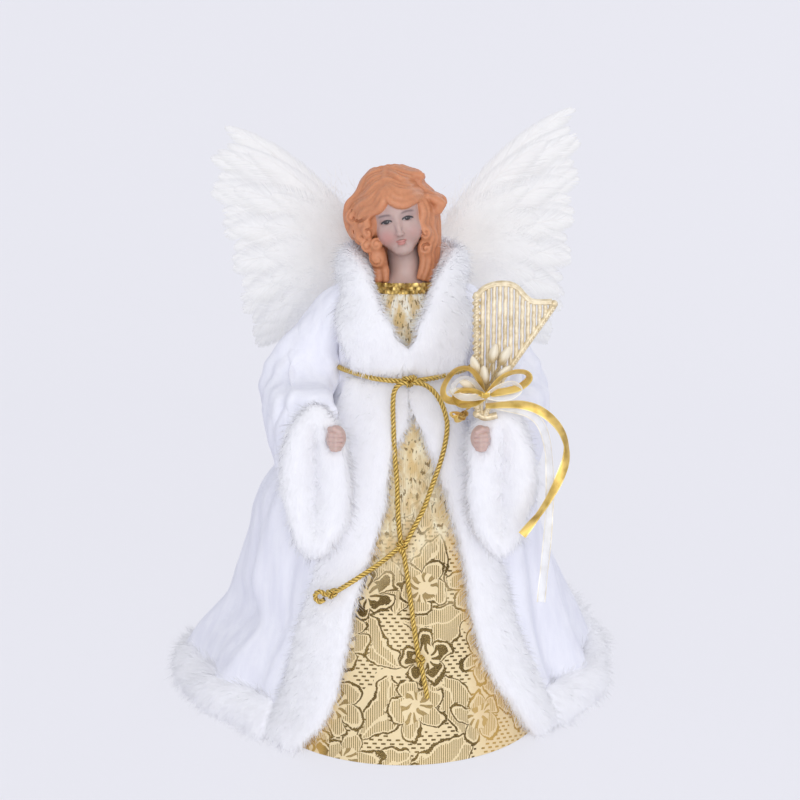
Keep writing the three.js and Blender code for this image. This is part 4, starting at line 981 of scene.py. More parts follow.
def sleeve_piece(side_name):
    node = f"{side_name}_sleeve"
    points, triangles, normals = rounded(node, 3)
    low, high = points.min(0), points.max(0)
    up_arm = np.clip((points[:, 2] - low[2]) / (high[2] - low[2]), 0, 1)
    hang = ripple(points * (1.0, 0.8, 0.14), 7.0, 21) * 3.0 + ripple(points * (1, 1, 0.2), 4.5, 5) * 0.4
    elbow = np.sin(points[:, 2] * 0.55 + 1.6 * ripple(points, 12, 7)) * bell((up_arm - 0.62) / 0.12)
    crease = hang * (0.3 + 0.7 * np.sin(np.pi * up_arm)) + elbow * 0.5 - 0.3
    inward = -np.sign(points[:, 0].mean())
    lean = 12.0 * smooth((points[:, 2] - 180) / 46)
    against = 10.0 * np.clip(normals[:, 0] * inward * 1.5, 0, 1) * bell((points[:, 2] - 189) / 13)
    points = points + np.outer(inward * (lean + against), (1.0, 0, 0))
    heap = Heap().add(points + normals * crease[:, None], triangles)
    made = heap.piece(f"{side_name}_velvet_sleeve", VELVET, f"{side_name}_arm", [node], "velvet")
    area = area_of(points, triangles).sum() / 2


sleeve_piece("right")
sleeve_piece("left")


# Brocade: the skirt over the cone and the bodice over the bust, cut from one cloth.

def cone_cloth(points):
    """Where a point lies on the cloth when the skirt is opened out flat, in millimetres."""
    slant = math.hypot(1, SLOPE)
    apex = (CONE_FOOT + SKIRT_OFF) / SLOPE
    from_top = (apex - points[:, 2]) * slant
    turn = np.arctan2(points[:, 0], -points[:, 1]) * SLOPE / slant
    # The third value, the share of the height, thins the pattern and pales the foil with painted reflection
    # towards the waist.
    return np.stack([from_top * np.sin(turn), -from_top * np.cos(turn), points[:, 2] / CONE_HEIGHT], 1)


def skirt_piece():
    rows, around = 120, 240
    z = np.linspace(0.3, CONE_HEIGHT - 0.5, rows)[:, None]
    angle = np.linspace(-180, 180, around)[None, :]
    base = polar(angle, skirt_radius(z) + 0 * angle, z + 0 * angle)
    swell = ripple(base.reshape(-1, 3) * (1, 1, 0.4), 24, 31).reshape(rows, around)
    swell = swell * smooth((180 - np.abs(angle)) / 20) * 0.28 * smooth(z / 12)
    points = polar(angle, skirt_radius(z) + swell - 0.25, z + 0 * angle).reshape(-1, 3)
    cloth = cone_cloth(points)
    turned = math.radians(180) * SLOPE / math.hypot(1, SLOPE)
    for k, sign in ((0, -1), (around - 1, 1)):
        from_top = np.hypot(cloth[k::around, 0], cloth[k::around, 1])
        cloth[k::around, 0] = sign * from_top * math.sin(turned)
        cloth[k::around, 1] = -from_top * math.cos(turned)
    quads = grid_faces(rows, around)
    heap = Heap().add(points, quads, cloth=cloth)
    made = heap.piece("brocade_skirt", BROCADE, "figure", ["skirt"], "brocade")
    area = area_of(points, halves(quads)).sum()


def bodice_piece():
    points, triangles, normals = rounded("bodice", 3)
    pull = ripple(points * (1, 1, 0.5), 7, 12) * 0.25
    points[:, 2] += 3.0 * smooth((points[:, 2] - 218) / 12)
    points[:, 1] -= 5.0 * smooth((-points[:, 1] - 8) / 10) * smooth((236 - points[:, 2]) / 12)
    turn = np.arctan2(points[:, 0], -points[:, 1])
    # The third value, 1.5, puts the bodice into the painted light that pales its foil.
    cloth = np.stack([turn * 34, points[:, 2] * 1.3, 1.5 + 0 * turn], 1)
    made = Heap().add(points + normals * pull[:, None], triangles, cloth=cloth).piece(
        "brocade_bodice", BROCADE, "figure", ["bodice"], "brocade")
    area = area_of(points, triangles).sum() / 2


skirt_piece()
bodice_piece()


# White fur: long pile on the collar, the front edges, the hem and the cuffs.

FUR_WIDTH = 0.24
WILD_SHARE = 0.14
# Painted shade along each hair, darkest at the root and lightest at the tip.
TIP_SHADES = (0.3, 0.3, 0.65, 0.65, 0.9, 0.9, 1.0)


def lets_light_through(made):
    """Fine white hair scatters light on instead of stopping it."""
    made.visible_shadow = False
    made.visible_diffuse = False


def fur_piece(name, node, body, length, per_mm2, comb, seed, drape, sink=0.2):
    """Soft pile on its band: a lumpy bed and fine hairs combed over it in tufts."""
    points, triangles, normals = rounded(node)
    points = drape(points, normals)
    lumps = ripple(points, 13, seed) * 0.9 + ripple(points, 6, seed + 1) * 0.35
    points = points + normals * (lumps - sink)[:, None]
    points[:, 2] = np.maximum(points[:, 2], 0.4)
    rng = np.random.default_rng(seed)
    count = int(area_of(points, triangles).sum() * per_mm2)
    roots, out = scatter(points, triangles, normals, count, rng)
    flow = comb(roots)
    flow = unit(flow - out * (flow * out).sum(1, keepdims=True))
    broad = np.stack([ripple(roots, 9, seed + k) for k in (2, 3, 4)], 1)
    tuft = np.stack([ripple(roots, 3.0, seed + k) for k in (5, 6, 7)], 1)
    stray = rng.normal(size=(count, 3)) * 0.14
    start = unit(0.75 * out + 0.5 * flow + 0.3 * tuft + stray)
    finish = unit(0.15 * out + flow + 0.45 * broad + 0.4 * tuft + stray)
    long = length * (0.6 + 0.55 * rng.random(count)) * (1 + 0.25 * ripple(roots, 6, seed + 9))
    by_the_face = (np.abs(roots[:, 0]) < 24) & (roots[:, 2] > 236)
    wild = ((rng.random(count) < WILD_SHARE) & ~by_the_face)[:, None]
    start = unit(start + 0.7 * wild * out)
    finish = unit(finish + 0.9 * wild * out)
    long = long * (1 + 0.5 * wild[:, 0])
    # The bed under the hairs is painted as dark as the roots: painted shade.
    bed = Heap().add(points, triangles, facing=normals, tip=np.full(len(points), 0.3))
    bed.piece(name + "_bed", FUR, body, [node], "fur")
    shown = unit(out + 0.25 * tuft + 0.1 * broad + 0.1 * stray + (0, -0.3, 0.25))
    pile = Heap().hairs(roots, start, finish, long, FUR_WIDTH, rng, shown)
    # Each hair carries the painted shade from root to tip.
    pile.values["tip"] = [np.tile(TIP_SHADES, count)]
    pile.points[-1][:, 2] = np.maximum(pile.points[-1][:, 2], 0.15)
    lets_light_through(pile.piece(name, FUR, body, [node], "fur"))


def comb_down_out(spots):
    away = unit(spots * (1, 1, 0))
    return away * 0.5 + (0, 0, -1)


def comb_collar(spots):
    return np.stack([0.15 * np.sign(spots[:, 0]), -0.2 + 0 * spots[:, 0], -1 + 0 * spots[:, 0]], 1)


def comb_hem(spots):
    away = unit(spots * (1, 1, 0))
    around = np.cross(away, (0, 0, 1.0))
    return away * 0.5 + np.array([0, 0, -0.7]) + around * (0.5 * ripple(spots, 25, 3))[:, None]


MEETING = 3.4


def lapels_meet(points, _):
    """The lapels close over the bodice just above the belt."""
    x, y, z = points.T
    throat = 2.6 * smooth((242 - z) / 8) * smooth((z - 212) / 12)
    low = smooth((215 - z) / 11)
    right = (throat + 7.8 * low) * smooth((x + 24) / 20) * (x < MEETING)
    left = -(throat + 3.8 * low) * smooth((26 - x) / 18) * (x >= MEETING)
    slim = 1 - 0.12 * smooth((z - 222) / 16)
    sag = 3.5 * smooth((206 - z) / 8) * smooth(1.4 - np.abs(x - MEETING) / 18)
    return np.stack([x * slim + right + left, y, z - sag], 1)


def broaden(points, side, most):
    """A front band widens round the robe as it nears the belt."""
    x, y, z = points.T
    angle = angle_of(points)
    turn = side * most * smooth((z - 90) / 90) * smooth((side * angle - 12) / 16)
    return polar(angle + turn, np.hypot(x, y) * robe_radius(angle + turn, z) / robe_radius(angle, z), z)


def right_front_meets(points, _):
    """The right band closes over the skirt near the hem, and towards the other band under the belt."""
    points = broaden(points, -1, 19)
    z = points[:, 2]
    turn = 6 * bell((z - 32) / 30) * smooth((z - 4) / 16) * smooth((64 + angle_of(points)) / 18)
    x, y, z = turned(points, turn).T
    return np.stack([x + 8.0 * smooth((z - 150) / 26) * smooth((x + 24) / 20), y, z], 1)


def left_front_meets(points, _):
    points = broaden(points, 1, 9)
    turn = -5 * bell((points[:, 2] - 58) / 32) * smooth((64 - angle_of(points)) / 18)
    x, y, z = turned(points, turn).T
    return np.stack([x - 3.0 * smooth((z - 165) / 14) * smooth((26 - x) / 18), y, z], 1)


def hem_meets(points, _):
    """The hem's two ends reach the front bands."""
    angle = angle_of(points)
    right, left = angle[angle < 0].max(), angle[angle > 0].min()
    right_turn = 6 * smooth(1 - (right - angle) / 14) * (angle < 0)
    left_turn = 6 * smooth(1 - (angle - left) / 14) * (angle > 0)
    return turned(points, right_turn - left_turn)


def cuff_closes(points, normals):
    """The pile inside a cuff fills its mouth, and the ends draw in."""
    middle = (points.min(0) + points.max(0)) / 2
    inward = np.clip(normals[:, 0] * np.sign(middle[0] - points[:, 0]), 0, 1)
    clumps = ripple(points * (1, 1, 0.7), 15, 57) * 1.5
    points = points + normals * (4.2 * inward + clumps)[:, None]
    return middle + (points - middle) * (0.94, 1, 0.92)


fur_piece("collar_fur", "fur_collar", "figure", 5.0, 2.6, comb_collar, 100, lapels_meet, sink=-0.8)
fur_piece("right_front_pile", "front_fur_right", "figure", 5.0, 2.4, comb_down_out, 120, right_front_meets)
fur_piece("left_front_pile", "front_fur_left", "figure", 5.0, 2.4, comb_down_out, 140, left_front_meets)
fur_piece("hem_pile", "hem_fur", "figure", 6.0, 1.8, comb_hem, 160, hem_meets)
fur_piece("right_cuff_pile", "right_cuff_fur", "right_arm", 4.5, 2.6, comb_down_out, 180, cuff_closes)
fur_piece("left_cuff_pile", "left_cuff_fur", "left_arm", 4.5, 2.6, comb_down_out, 200, cuff_closes)


# Belt and neckline trim.

SEQUIN_ROWS = 3
SEQUINS_ROUND = 64


def belt_piece():
    knot = math.degrees(math.atan2(BELT_KNOT[0], -BELT_KNOT[1]))
    angle = np.linspace(knot + 4, knot + 356, 640)
    angle = (angle + 180) % 360 - 180
    front = np.maximum(0, np.cos(np.radians(angle)))
    sunk = 1.5 * smooth((-angle - 22) / 14)
    radius = robe_radius(angle, np.full_like(angle, WAIST)) + 2.1 + 8 * front**3 - sunk
    line = polar(angle, radius, WAIST - 1.6 * front**6)
    Heap().rope(line, CORD_DIAMETER).piece("twisted_belt", CORD, "figure", ["belt_cord"], "gold_cord")


def trim_piece():
    """Three rows of cupped sequins on a braid."""
    rng = np.random.default_rng(41)
    heap = Heap()
    points, triangles, normals = rounded("neckline_trim", 2)
    heap.add(points - normals * 0.3, triangles)
    turn = np.arctan2(points[:, 0], -points[:, 1])
    reach = np.hypot(points[:, 0], points[:, 1])
    for row in range(SEQUIN_ROWS):
        for k in range(SEQUINS_ROUND):
            a = 2 * np.pi * (k + 0.5 * (row % 2)) / SEQUINS_ROUND - np.pi
            near = np.abs((turn - a + np.pi) % (2 * np.pi) - np.pi) < 0.12
            if not near.any():
                continue
            low, high = points[near, 2].min(), points[near, 2].max()
            spot = np.array([0, 0, mix(low, high, (row + 0.5) / SEQUIN_ROWS)])
            spot[:2] = (reach[near].max() + 0.4) * np.array([np.sin(a), -np.cos(a)])
            face = unit(np.array([np.sin(a), -np.cos(a), 0.35]) + rng.normal(size=3) * 0.28)
            side = unit(np.cross(face, (0, 0, 1.0)))
            up = np.cross(side, face)
            t = np.linspace(0, 2 * np.pi, 9, endpoint=False)
            rim = spot + 1.25 * (np.cos(t)[:, None] * side + np.sin(t)[:, None] * up)
            cup = spot - face * 0.45
            fan = np.stack([np.full(9, 9), np.arange(9), (np.arange(9) + 1) % 9], 1)
            heap.add(np.vstack([rim, cup]), fan)
    for run in heap.points:
        run[:, 2] -= 6.5 * smooth((run[:, 1] + 4) / 8)
    heap.piece("sequin_braid", SEQUIN, "figure", ["neckline_trim"], "gold_trim")


belt_piece()
trim_piece()


# Porcelain: modelled as clay on a grid of distances, then skinned.

class Clay:
    def __init__(self, low, high, step):
        self.low = np.asarray(low, float)
        self.step = step
        axes = [np.arange(a, b, step, dtype=np.float32) for a, b in zip(low, high)]
        self.axes = axes
        self.field = np.full([len(a) for a in axes], 9.0, np.float32)

    def near(self, low, high):
        cut = []
        for k in range(3):
            first = int(np.searchsorted(self.axes[k], low[k]))
            last = int(np.searchsorted(self.axes[k], high[k]))
            cut.append(slice(first, max(last, first + 1)))
        x, y, z = (self.axes[k][cut[k]] for k in range(3))
        return tuple(cut), x[:, None, None], y[None, :, None], z[None, None, :]

    def join(self, cut, distance, soft):
        old = self.field[cut]
        share = np.clip(0.5 + 0.5 * (old - distance) / soft, 0, 1)
        self.field[cut] = old + (distance - old) * share - soft * share * (1 - share)

    def carve(self, cut, distance, soft):
        old = self.field[cut]
        share = np.clip(0.5 - 0.5 * (old + distance) / soft, 0, 1)
        self.field[cut] = old + (-distance - old) * share + soft * share * (1 - share)

    def ball(self, centre, radii, soft=0.5, carve=False):
        centre = np.asarray(centre, float)
        radii = np.broadcast_to(np.asarray(radii, float), 3)
        reach = radii + soft + 3
        cut, x, y, z = self.near(centre - reach, centre + reach)
        away = [(a - c, r) for a, c, r in zip((x, y, z), centre, radii)]
        scaled = np.sqrt(sum((a / r)**2 for a, r in away))
        steep = np.sqrt(sum((a / r**2)**2 for a, r in away))
        distance = scaled * (scaled - 1) / np.maximum(steep, 1e-4)
        (self.carve if carve else self.join)(cut, distance, soft)

    def roll(self, line, radius, soft, carve=False):
        """A tapering roll of clay along a line, or a groove of that shape."""
        line = np.asarray(line, float)
        radius = np.broadcast_to(np.asarray(radius, float), len(line))
        for a, b, ra, rb in zip(line[:-1], line[1:], radius[:-1], radius[1:]):
            reach = max(ra, rb) + soft + 2
            cut, x, y, z = self.near(np.minimum(a, b) - reach, np.maximum(a, b) + reach)
            d = b - a
            spot = [(p - q, step) for p, q, step in zip((x, y, z), a, d)]
            t = np.clip(sum(p * step for p, step in spot) / max(d @ d, 1e-9), 0, 1)
            away = np.sqrt(sum((p - t * step)**2 for p, step in spot))
            (self.carve if carve else self.join)(cut, away - mix(ra, rb, t), soft)

    def at(self, points):
        """Distances at points, read off the grid."""
        q = (np.asarray(points) - self.low) / self.step
        cell = np.clip(np.floor(q).astype(int), 0, np.array(self.field.shape) - 2)
        part = q - cell
        total = np.zeros(len(q))
        for corner in CORNERS:
            total += corner_share(part, corner) * self.field[tuple((cell + corner).T)]
        return total

    def skin(self):
        """The surface: one point in each cell that it crosses, and a quad for each edge."""
        f = self.field
        inside = f < 0
        nx, ny, nz = f.shape
        count = sum(inside[a:nx - 1 + a, b:ny - 1 + b, c:nz - 1 + c].astype(np.int8) for a, b, c in CORNERS)
        active = (count > 0) & (count < 8)
        cells = np.argwhere(active)
        number = np.full(active.shape, -1, np.int64)
        number[active] = np.arange(len(cells))
        values = [f[tuple((cells + corner).T)] for corner in CORNERS]
        total = np.zeros((len(cells), 3))
        hits = np.zeros(len(cells))
        for p in range(8):
            for q in range(p + 1, 8):
                first, second = np.array(CORNERS[p]), np.array(CORNERS[q])
                if np.abs(first - second).sum() != 1:
                    continue
                crossed = (values[p] < 0) != (values[q] < 0)
                t = np.where(crossed, values[p] / np.where(crossed, values[p] - values[q], 1), 0)
                spot = first + t[:, None] * (second - first)
                total += spot * crossed[:, None]
                hits += crossed
        points = self.low + (cells + total / hits[:, None]) * self.step
        quads = []
        for axis in range(3):
            here = [slice(1, None)] * 3
            there = [slice(1, None)] * 3
            here[axis] = slice(0, -1)
            a, b = inside[tuple(here)], inside[tuple(there)]
            edge = np.argwhere(a != b)
            flip = a[tuple(edge.T)]
            first = edge + np.array([0 if k == axis else 1 for k in range(3)])
            one, two = [k for k in range(3) if k != axis]
            ring = []
            for back_one, back_two in ((1, 1), (0, 1), (0, 0), (1, 0)):
                cell = first.copy()
                cell[:, one] -= back_one
                cell[:, two] -= back_two
                ring.append(cell)
            valid = np.all([(c < np.array(number.shape)).all(1) for c in ring], axis=0)
            quad = np.stack([number[tuple(np.minimum(c, np.array(number.shape) - 1).T)] for c in ring], 1)
            turn = flip if axis != 1 else ~flip
            quad = np.where(turn[:, None], quad, quad[:, ::-1])
            quads.append(quad[valid & (quad >= 0).all(1)])
        return points, np.vstack(quads)


CHIN = np.array([0.8, 0.0, 254.0])
HEAD_ROLL = math.radians(-12)
SKULL = ((-2.5, 3.0, 23.0), (20.0, 20.0, 21.5))
FACE = ((0.0, -8.0, 18.5), (12.2, 13.2, 18.6))
BROW = ((0.0, -7.5, 26.0), (12.4, 12.3, 12.3))
RIGHT_WAVE = [
    [(-2.7, 33.7), (-1.9, 30.3), (1.4, 27.3), (5.6, 25.8), (10, 26.5), (12.9, 26.5), (17, 24.3),
     (20.7, 20.3), (23, 18.5)],
    [(-1.9, 35.5), (0.4, 31.8), (4.4, 29.3), (8.8, 28.7), (12.8, 29.1), (16.9, 26.6),
     (20.7, 23.2), (24, 20.3), (25.8, 20)],
    [(-1.3, 37.6), (2.2, 34.3), (6.9, 32), (11.4, 31.7), (15.1, 30.6), (18.4, 27.9), (21.7, 25),
     (24.6, 23.1), (25.6, 22)],
    [(-0.4, 40.3), (4.1, 37.1), (8.9, 35.1), (13.4, 34.8), (16.5, 32.8), (18.5, 29.8),
     (19.9, 27.3), (21.2, 25.7), (22.9, 24.7)],
    [(0.9, 43.2), (6.1, 40.2), (10.9, 38.2), (14.6, 37.8), (17.1, 35.6), (18.4, 32.5),
     (19.1, 29.7), (19.7, 27.7), (20.7, 26.5)],
    [(2.1, 45.6), (7.4, 43.5), (12.3, 41.8), (15.9, 40.7), (17.7, 38.4), (18.4, 35.7), (18.8, 33),
     (19.1, 31), (19.3, 29)],
]
LEFT_WAVE = [
    [(-3.3, 33.5), (-5.1, 28.9), (-8, 26.2), (-12.2, 24.8), (-15.2, 22.4), (-15.6, 19.2),
     (-17.0, 16.4), (-16.2, 12.2)],
    [(-3.5, 34.8), (-6.2, 31.2), (-10.1, 28.2), (-14.4, 26.5), (-17.6, 23.9), (-17.6, 20),
     (-19.8, 16.6), (-18.3, 11.7)],
    [(-4, 36.9), (-7.5, 34.1), (-11.9, 31.8), (-17, 29.6), (-20.9, 26.6), (-21.1, 22.1),
     (-23.4, 18), (-21.9, 11.8)],
    [(-4.4, 39.6), (-8.7, 37.6), (-13.8, 35.4), (-19.5, 32.8), (-23.6, 29.1), (-24, 24),
     (-25.6, 19.9), (-24.1, 13)],
    [(-4.4, 42.5), (-9.2, 41.2), (-14.2, 39.4), (-19.3, 36.6), (-23.7, 32.3), (-25.2, 27.6),
     (-25.8, 21.9), (-25, 15.2)],
    [(-3.2, 45.4), (-8.4, 45.2), (-13, 43.3), (-17, 40), (-20.4, 36.2), (-23.2, 32.3),
     (-25.2, 27.6), (-25.4, 21.8)],
]
RIGHT_FALL = [
    [(11.8, -10.5, 28), (13.6, -12.0, 20), (11.6, -12.6, 14), (13.0, -11.8, 8), (9.2, -9.2, 1.5),
     (9.0, -8.6, -5), (7.4, -9, -12)],
    [(14.8, -8, 27), (15.8, -9.8, 19.5), (13.8, -10, 12.5), (15.0, -9, 6), (11.4, -8.4, -0.5),
     (11.4, -8.2, -6.5), (9.8, -9, -13)],
    [(17.6, -4.5, 25), (17.6, -6.6, 17), (16.0, -6.8, 10), (16.6, -6.6, 4), (13.4, -6.6, -2),
     (13.2, -6.6, -8), (12.2, -7.6, -13.5)],
    [(18.6, 0, 24), (18.4, -1.6, 16), (16.8, -1.8, 9), (16.8, -1.8, 3), (14.8, -2, -3),
     (14.6, -3, -8.5), (13.8, -4.4, -13.5)],
]
BACK_LEFT = np.array([
    (-8, 6, 46), (-17, 14, 39), (-22, 18, 27), (-22, 19, 14), (-18, 17, 2), (-15, 15, -7),
], float)
BACK_RIGHT = np.array([
    (8, 6, 46), (15, 14, 39), (18.5, 18, 27), (18.5, 19, 14), (16, 17, 2), (13, 15, -7),
], float)
BELOW_CHIN = (0.0, 0.0, -40.0)


def rolled(points):
    """The head leans to one side, and the neck takes up the turn between the chin and the shoulders."""
    turn = HEAD_ROLL * smooth((points[:, 2] + 16) / 14)
    c, s = np.cos(turn), np.sin(turn)
    x, y, z = points.T
    return np.stack([x * c + z * s, y, z * c - x * s], 1) + CHIN


def over_head(pairs, lift):
    """Points on the front of the head, raised by the lift."""
    pairs = np.asarray(pairs, float)
    depth = np.full(len(pairs), 9.0)
    for centre, radii in (SKULL, FACE, BROW):
        left = 1 - ((pairs[:, 0] - centre[0]) / radii[0])**2 - ((pairs[:, 1] - centre[2]) / radii[2])**2
        front = centre[1] - radii[1] * np.sqrt(np.maximum(left, 0.02))
        depth = np.minimum(depth, np.where(left > -0.6, front, 9.0))
    return np.stack([pairs[:, 0], depth - lift, pairs[:, 1]], 1)


def locks(clay, flows, thick, soft, between=1):
    """A wave of hair: the flows are its raised locks, with finer ones laid between."""
    flows = [curve(f, 26) for f in flows]
    s = np.linspace(0, 1, 26)
    taper = thick * (0.8 + 0.3 * np.sin(np.pi * (0.1 + 0.8 * s)))
    for k, flow in enumerate(flows):
        clay.roll(flow, taper * (1 + 0.12 * np.sin(9 * s + 2 * k)), soft)
        if k + 1 < len(flows):
            for step in range(between):
                share = (step + 1) / (between + 1)
                clay.roll(mix(flow, flows[k + 1], share), taper * 0.78, soft)


def ringlet(clay, centre, radius, turn):
    """A curl: a rounded lump with a spiral cut into its front."""
    clay.ball(centre, (radius, radius * 0.85, radius * 1.15), 2.2)
    t = np.linspace(0, 1, 22)
    away = radius * 0.95 * (1 - 0.7 * t)
    swing = turn + 2 * np.pi * 0.85 * t
    ahead = -0.9 * np.sqrt(np.maximum(radius**2 - away**2, 0.1)) - 0.1
    spiral = np.stack([away * np.cos(swing), ahead, 1.1 * away * np.sin(swing)], 1)
    clay.roll(np.asarray(centre) + spiral, np.linspace(0.5, 0.2, 22), 0.7, carve=True)


def face_clay(low, high, step):
    face = Clay(low, high, step)
    face.ball(*FACE)
    face.ball(*BROW, 3)
    for side in (-1, 1):
        face.ball((side * 5.6, -13.8, 11.6), (4.9, 5.2, 5.0), 4)
        face.ball((side * 5.5, -23.4, 19.2), (3.5, 3.0, 2.2), 2.4, carve=True)
        face.ball((side * 5.5, -17.3, 18.9), (3.2, 3.2, 2.2), 0.6)
        face.ball((side * 1.3, -21.5, 11.7), (1.0, 1.2, 0.9), 0.8)
    face.roll([(0, -19.9, 20.8), (0, -21.4, 16), (0, -23.0, 12.3)], [0.8, 0.95, 1.25], 1.9)
    face.ball((0, -20.3, 8.3), (2.3, 1.2, 0.75), 0.7)
    face.ball((0, -20.1, 7.0), (1.9, 1.3, 0.85), 0.7)
    face.ball((0, -20.9, 4.9), (3.0, 1.2, 0.8), 1.6, carve=True)
    face.ball((0, -15.4, 3.0), (4.6, 4.6, 3.3), 4)
    face.roll([(0.3, 0.5, 12), (-0.6, 1.0, -4), (-0.8, 0.5, -17)], [9.0, 8.2, 10.0], 2.0)
    face.ball((-0.8, 0, -24), (23, 16, 11), 5)
    return face


def hair_clay(low, high, step):
    hair = Clay(low, high, step)
    hair.ball(*SKULL)
    hair.ball((-1, 9, 10), (17.5, 11, 17), 2)
    hair.ball((-18, -3, 18), (6.5, 8, 9), 3)
    hair.ball((14.5, -1, 12), (4.5, 7, 15), 3)
    right = [over_head(flow, 1.3) for flow in RIGHT_WAVE]
    left = [over_head(flow, 1.3) for flow in LEFT_WAVE]
    parting = over_head([(-3, 34.5), (-2.6, 37), (-2.2, 40), (-1.6, 43), (-0.4, 45.6)], 0.4)
    hair.roll(parting, [1.2, 1.7, 2.0, 2.2, 2.2], 0.6)
    locks(hair, right, 1.75, 0.9)
    locks(hair, left, 1.8, 0.8)
    locks(hair, RIGHT_FALL, 1.8, 0.6)
    swing = np.outer(1.6 * np.sin(np.linspace(0, 9, 6)), (1, 0, 0))
    locks(hair, [mix(BACK_LEFT, BACK_RIGHT, w) + swing for w in np.linspace(0, 1, 14)], 2.1, 0.35, 0)
    fall = np.vstack([curve(right[-1], 4)[:3], np.array(RIGHT_FALL[-1])[1::2]])
    for front, back, out, nearest in (
        (curve(left[-1], 6), BACK_LEFT, -2.2, 0.15), (fall, BACK_RIGHT, 1.8, 0.1),
    ):
        shares = np.linspace(nearest, 0.9, 6)
        locks(hair, [mix(front, back, w) + (out * math.sin(math.pi * w), 0, 0) for w in shares], 2.1, 0.35, 0)
    hair.roll([(18.5, -6.5, 26), (21.6, -6, 23.4), (23.4, -5.4, 21), (21.4, -5.4, 18.6), (18, -5, 17)],
              [2.0, 2.4, 2.6, 2.4, 1.8], 1.6)
    hair.roll([(-16, -7, 6), (-15.4, -7, -1), (-14.8, -8, -7), (-13.8, -9, -13.5)], [2.8, 2.9, 2.7, 2.2], 0.8)
    hair.roll([(-12, -10, 5), (-12.2, -9.4, -1), (-11.4, -9.2, -7), (-10, -10, -13.5)],
              [2.4, 2.4, 2.2, 1.7], 0.8)
    for crease in (
        [(-22.4, 22.6), (-19.5, 21.6), (-16.5, 22.6), (-14.6, 23.4)],
        [(-20.8, 13.6), (-18.8, 13.2), (-17.6, 10.4), (-17.2, 7.4)],
        [(-16.6, 13.4), (-14.8, 11.4), (-12.2, 10.6)],
    ):
        hair.roll(over_head(curve([(x, 0, z) for x, z in crease], 12)[:, ::2], 3.9), 0.6, 0.8, carve=True)
    for centre, radius, turn in (
        ((-13.0, -13.8, 8.4), 3.0, 0.4), ((-14.2, -11.6, 1.0), 4.4, 2.2), ((-18.0, -11.4, 8.4), 3.2, 1.2),
        ((-20.4, -8.6, 12.6), 3.3, 3.0), ((-23.0, -5, 24.0), 3.4, 0.9), ((-22.4, -4, 15.6), 3.4, 4.0),
        ((-16.0, -12.0, 15.2), 2.6, 5.4), ((12.8, -12.4, 9.0), 2.5, 2.0), ((11.2, -10.0, 0.6), 2.6, 0.6),
    ):
        ringlet(hair, centre, radius, turn)
    return hair


def bust_piece():
    step = 0.44
    low, high = (-32, -30, -30), (31, 29, 51)
    face, hair = face_clay(low, high, step), hair_clay(low, high, step)
    whole = Clay(low, high, step)
    whole.field = face.field.copy()
    whole.join((slice(None),) * 3, hair.field, 0.35)
    points, quads = whole.skin()
    is_hair = smooth((face.at(points) - hair.at(points)) / 0.5 + 0.5)
    bed = Clay(low, high, step)
    bed.field = hair.field.copy()
    for axis in range(3):
        for _ in range(5):
            bed.field = (np.roll(bed.field, 1, axis) + 2 * bed.field + np.roll(bed.field, -1, axis)) / 4
    # How far the surface stands proud of the smoothed hair: low in the creases, for painted shade, and high
    # on the locks, for painted highlight.
    rise = np.clip(0.5 + bed.at(points) * 0.85, 0, 1.2)
    crown = np.maximum(points[:, 2] - 30, 0)
    dome = 2.4 * smooth((np.abs(points[:, 0] + 3) - 3) / 14) - 0.9
    lower = points - np.outer((0.17 * crown + dome) * smooth(crown / 10), (0, 0, 1))
    lower[:, 0] -= 4.2 * bell((points[:, 2] - 33.5) / 5.5) * smooth((points[:, 0] - 8) / 14)
    lower[:, 0] += 2.8 * bell((points[:, 2] - 38) / 9) * smooth((-points[:, 0] - 8) / 12)
    heap = Heap().add(rolled(lower), quads, face=points, hair=is_hair, rise=rise)
    heap.piece("painted_bust", PORCELAIN, "figure", ["porcelain_bust"], "porcelain")


def hand_piece(side_name, centre, side):
    """A small closed hand: the fingers curl level and the thumb lies over them."""
    clay = Clay((-9, -12, -12), (9, 10, 12), 0.35)
    clay.ball((0, 0.2, -0.3), (4.9, 5.2, 6.4), 1)
    for z, wide in ((2.4, 3.3), (0.0, 3.7), (-2.4, 3.3), (-4.5, 2.3)):
        clay.roll([(side * wide, -2.4, z), (side * wide * 0.7, -4.9, z), (0, -5.9, z - 0.1),
                   (-side * wide * 0.8, -4.6, z - 0.3)], [1.25, 1.3, 1.25, 1.0], 0.6)
    clay.roll([(side * 2.8, -2.2, 4.6), (side * 0.6, -5.0, 5.2), (-side * 2.2, -5.2, 3.9)],
              [1.5, 1.45, 1.1], 0.4)
    clay.roll([(0, 4, 0), (0, 8, -2)], [3.6, 3.4], 1)
    points, quads = clay.skin()
    bare = np.zeros(len(points))
    # Set below the chin, the hands take the neck's paler skin: painted light.
    heap = Heap().add(points + np.asarray(centre), quads, face=np.tile(BELOW_CHIN, (len(points), 1)),
                      hair=bare, rise=bare)
    heap.piece(f"{side_name}_painted_hand", PORCELAIN, f"{side_name}_arm", [f"{side_name}_hand"], "porcelain")


bust_piece()
hand_piece("right", (-33, -69, 171), -1)
hand_piece("left", (38, -69, 171), 1)


# Wings: each feather has a shaft and barbs that part here and there, with down at the root.

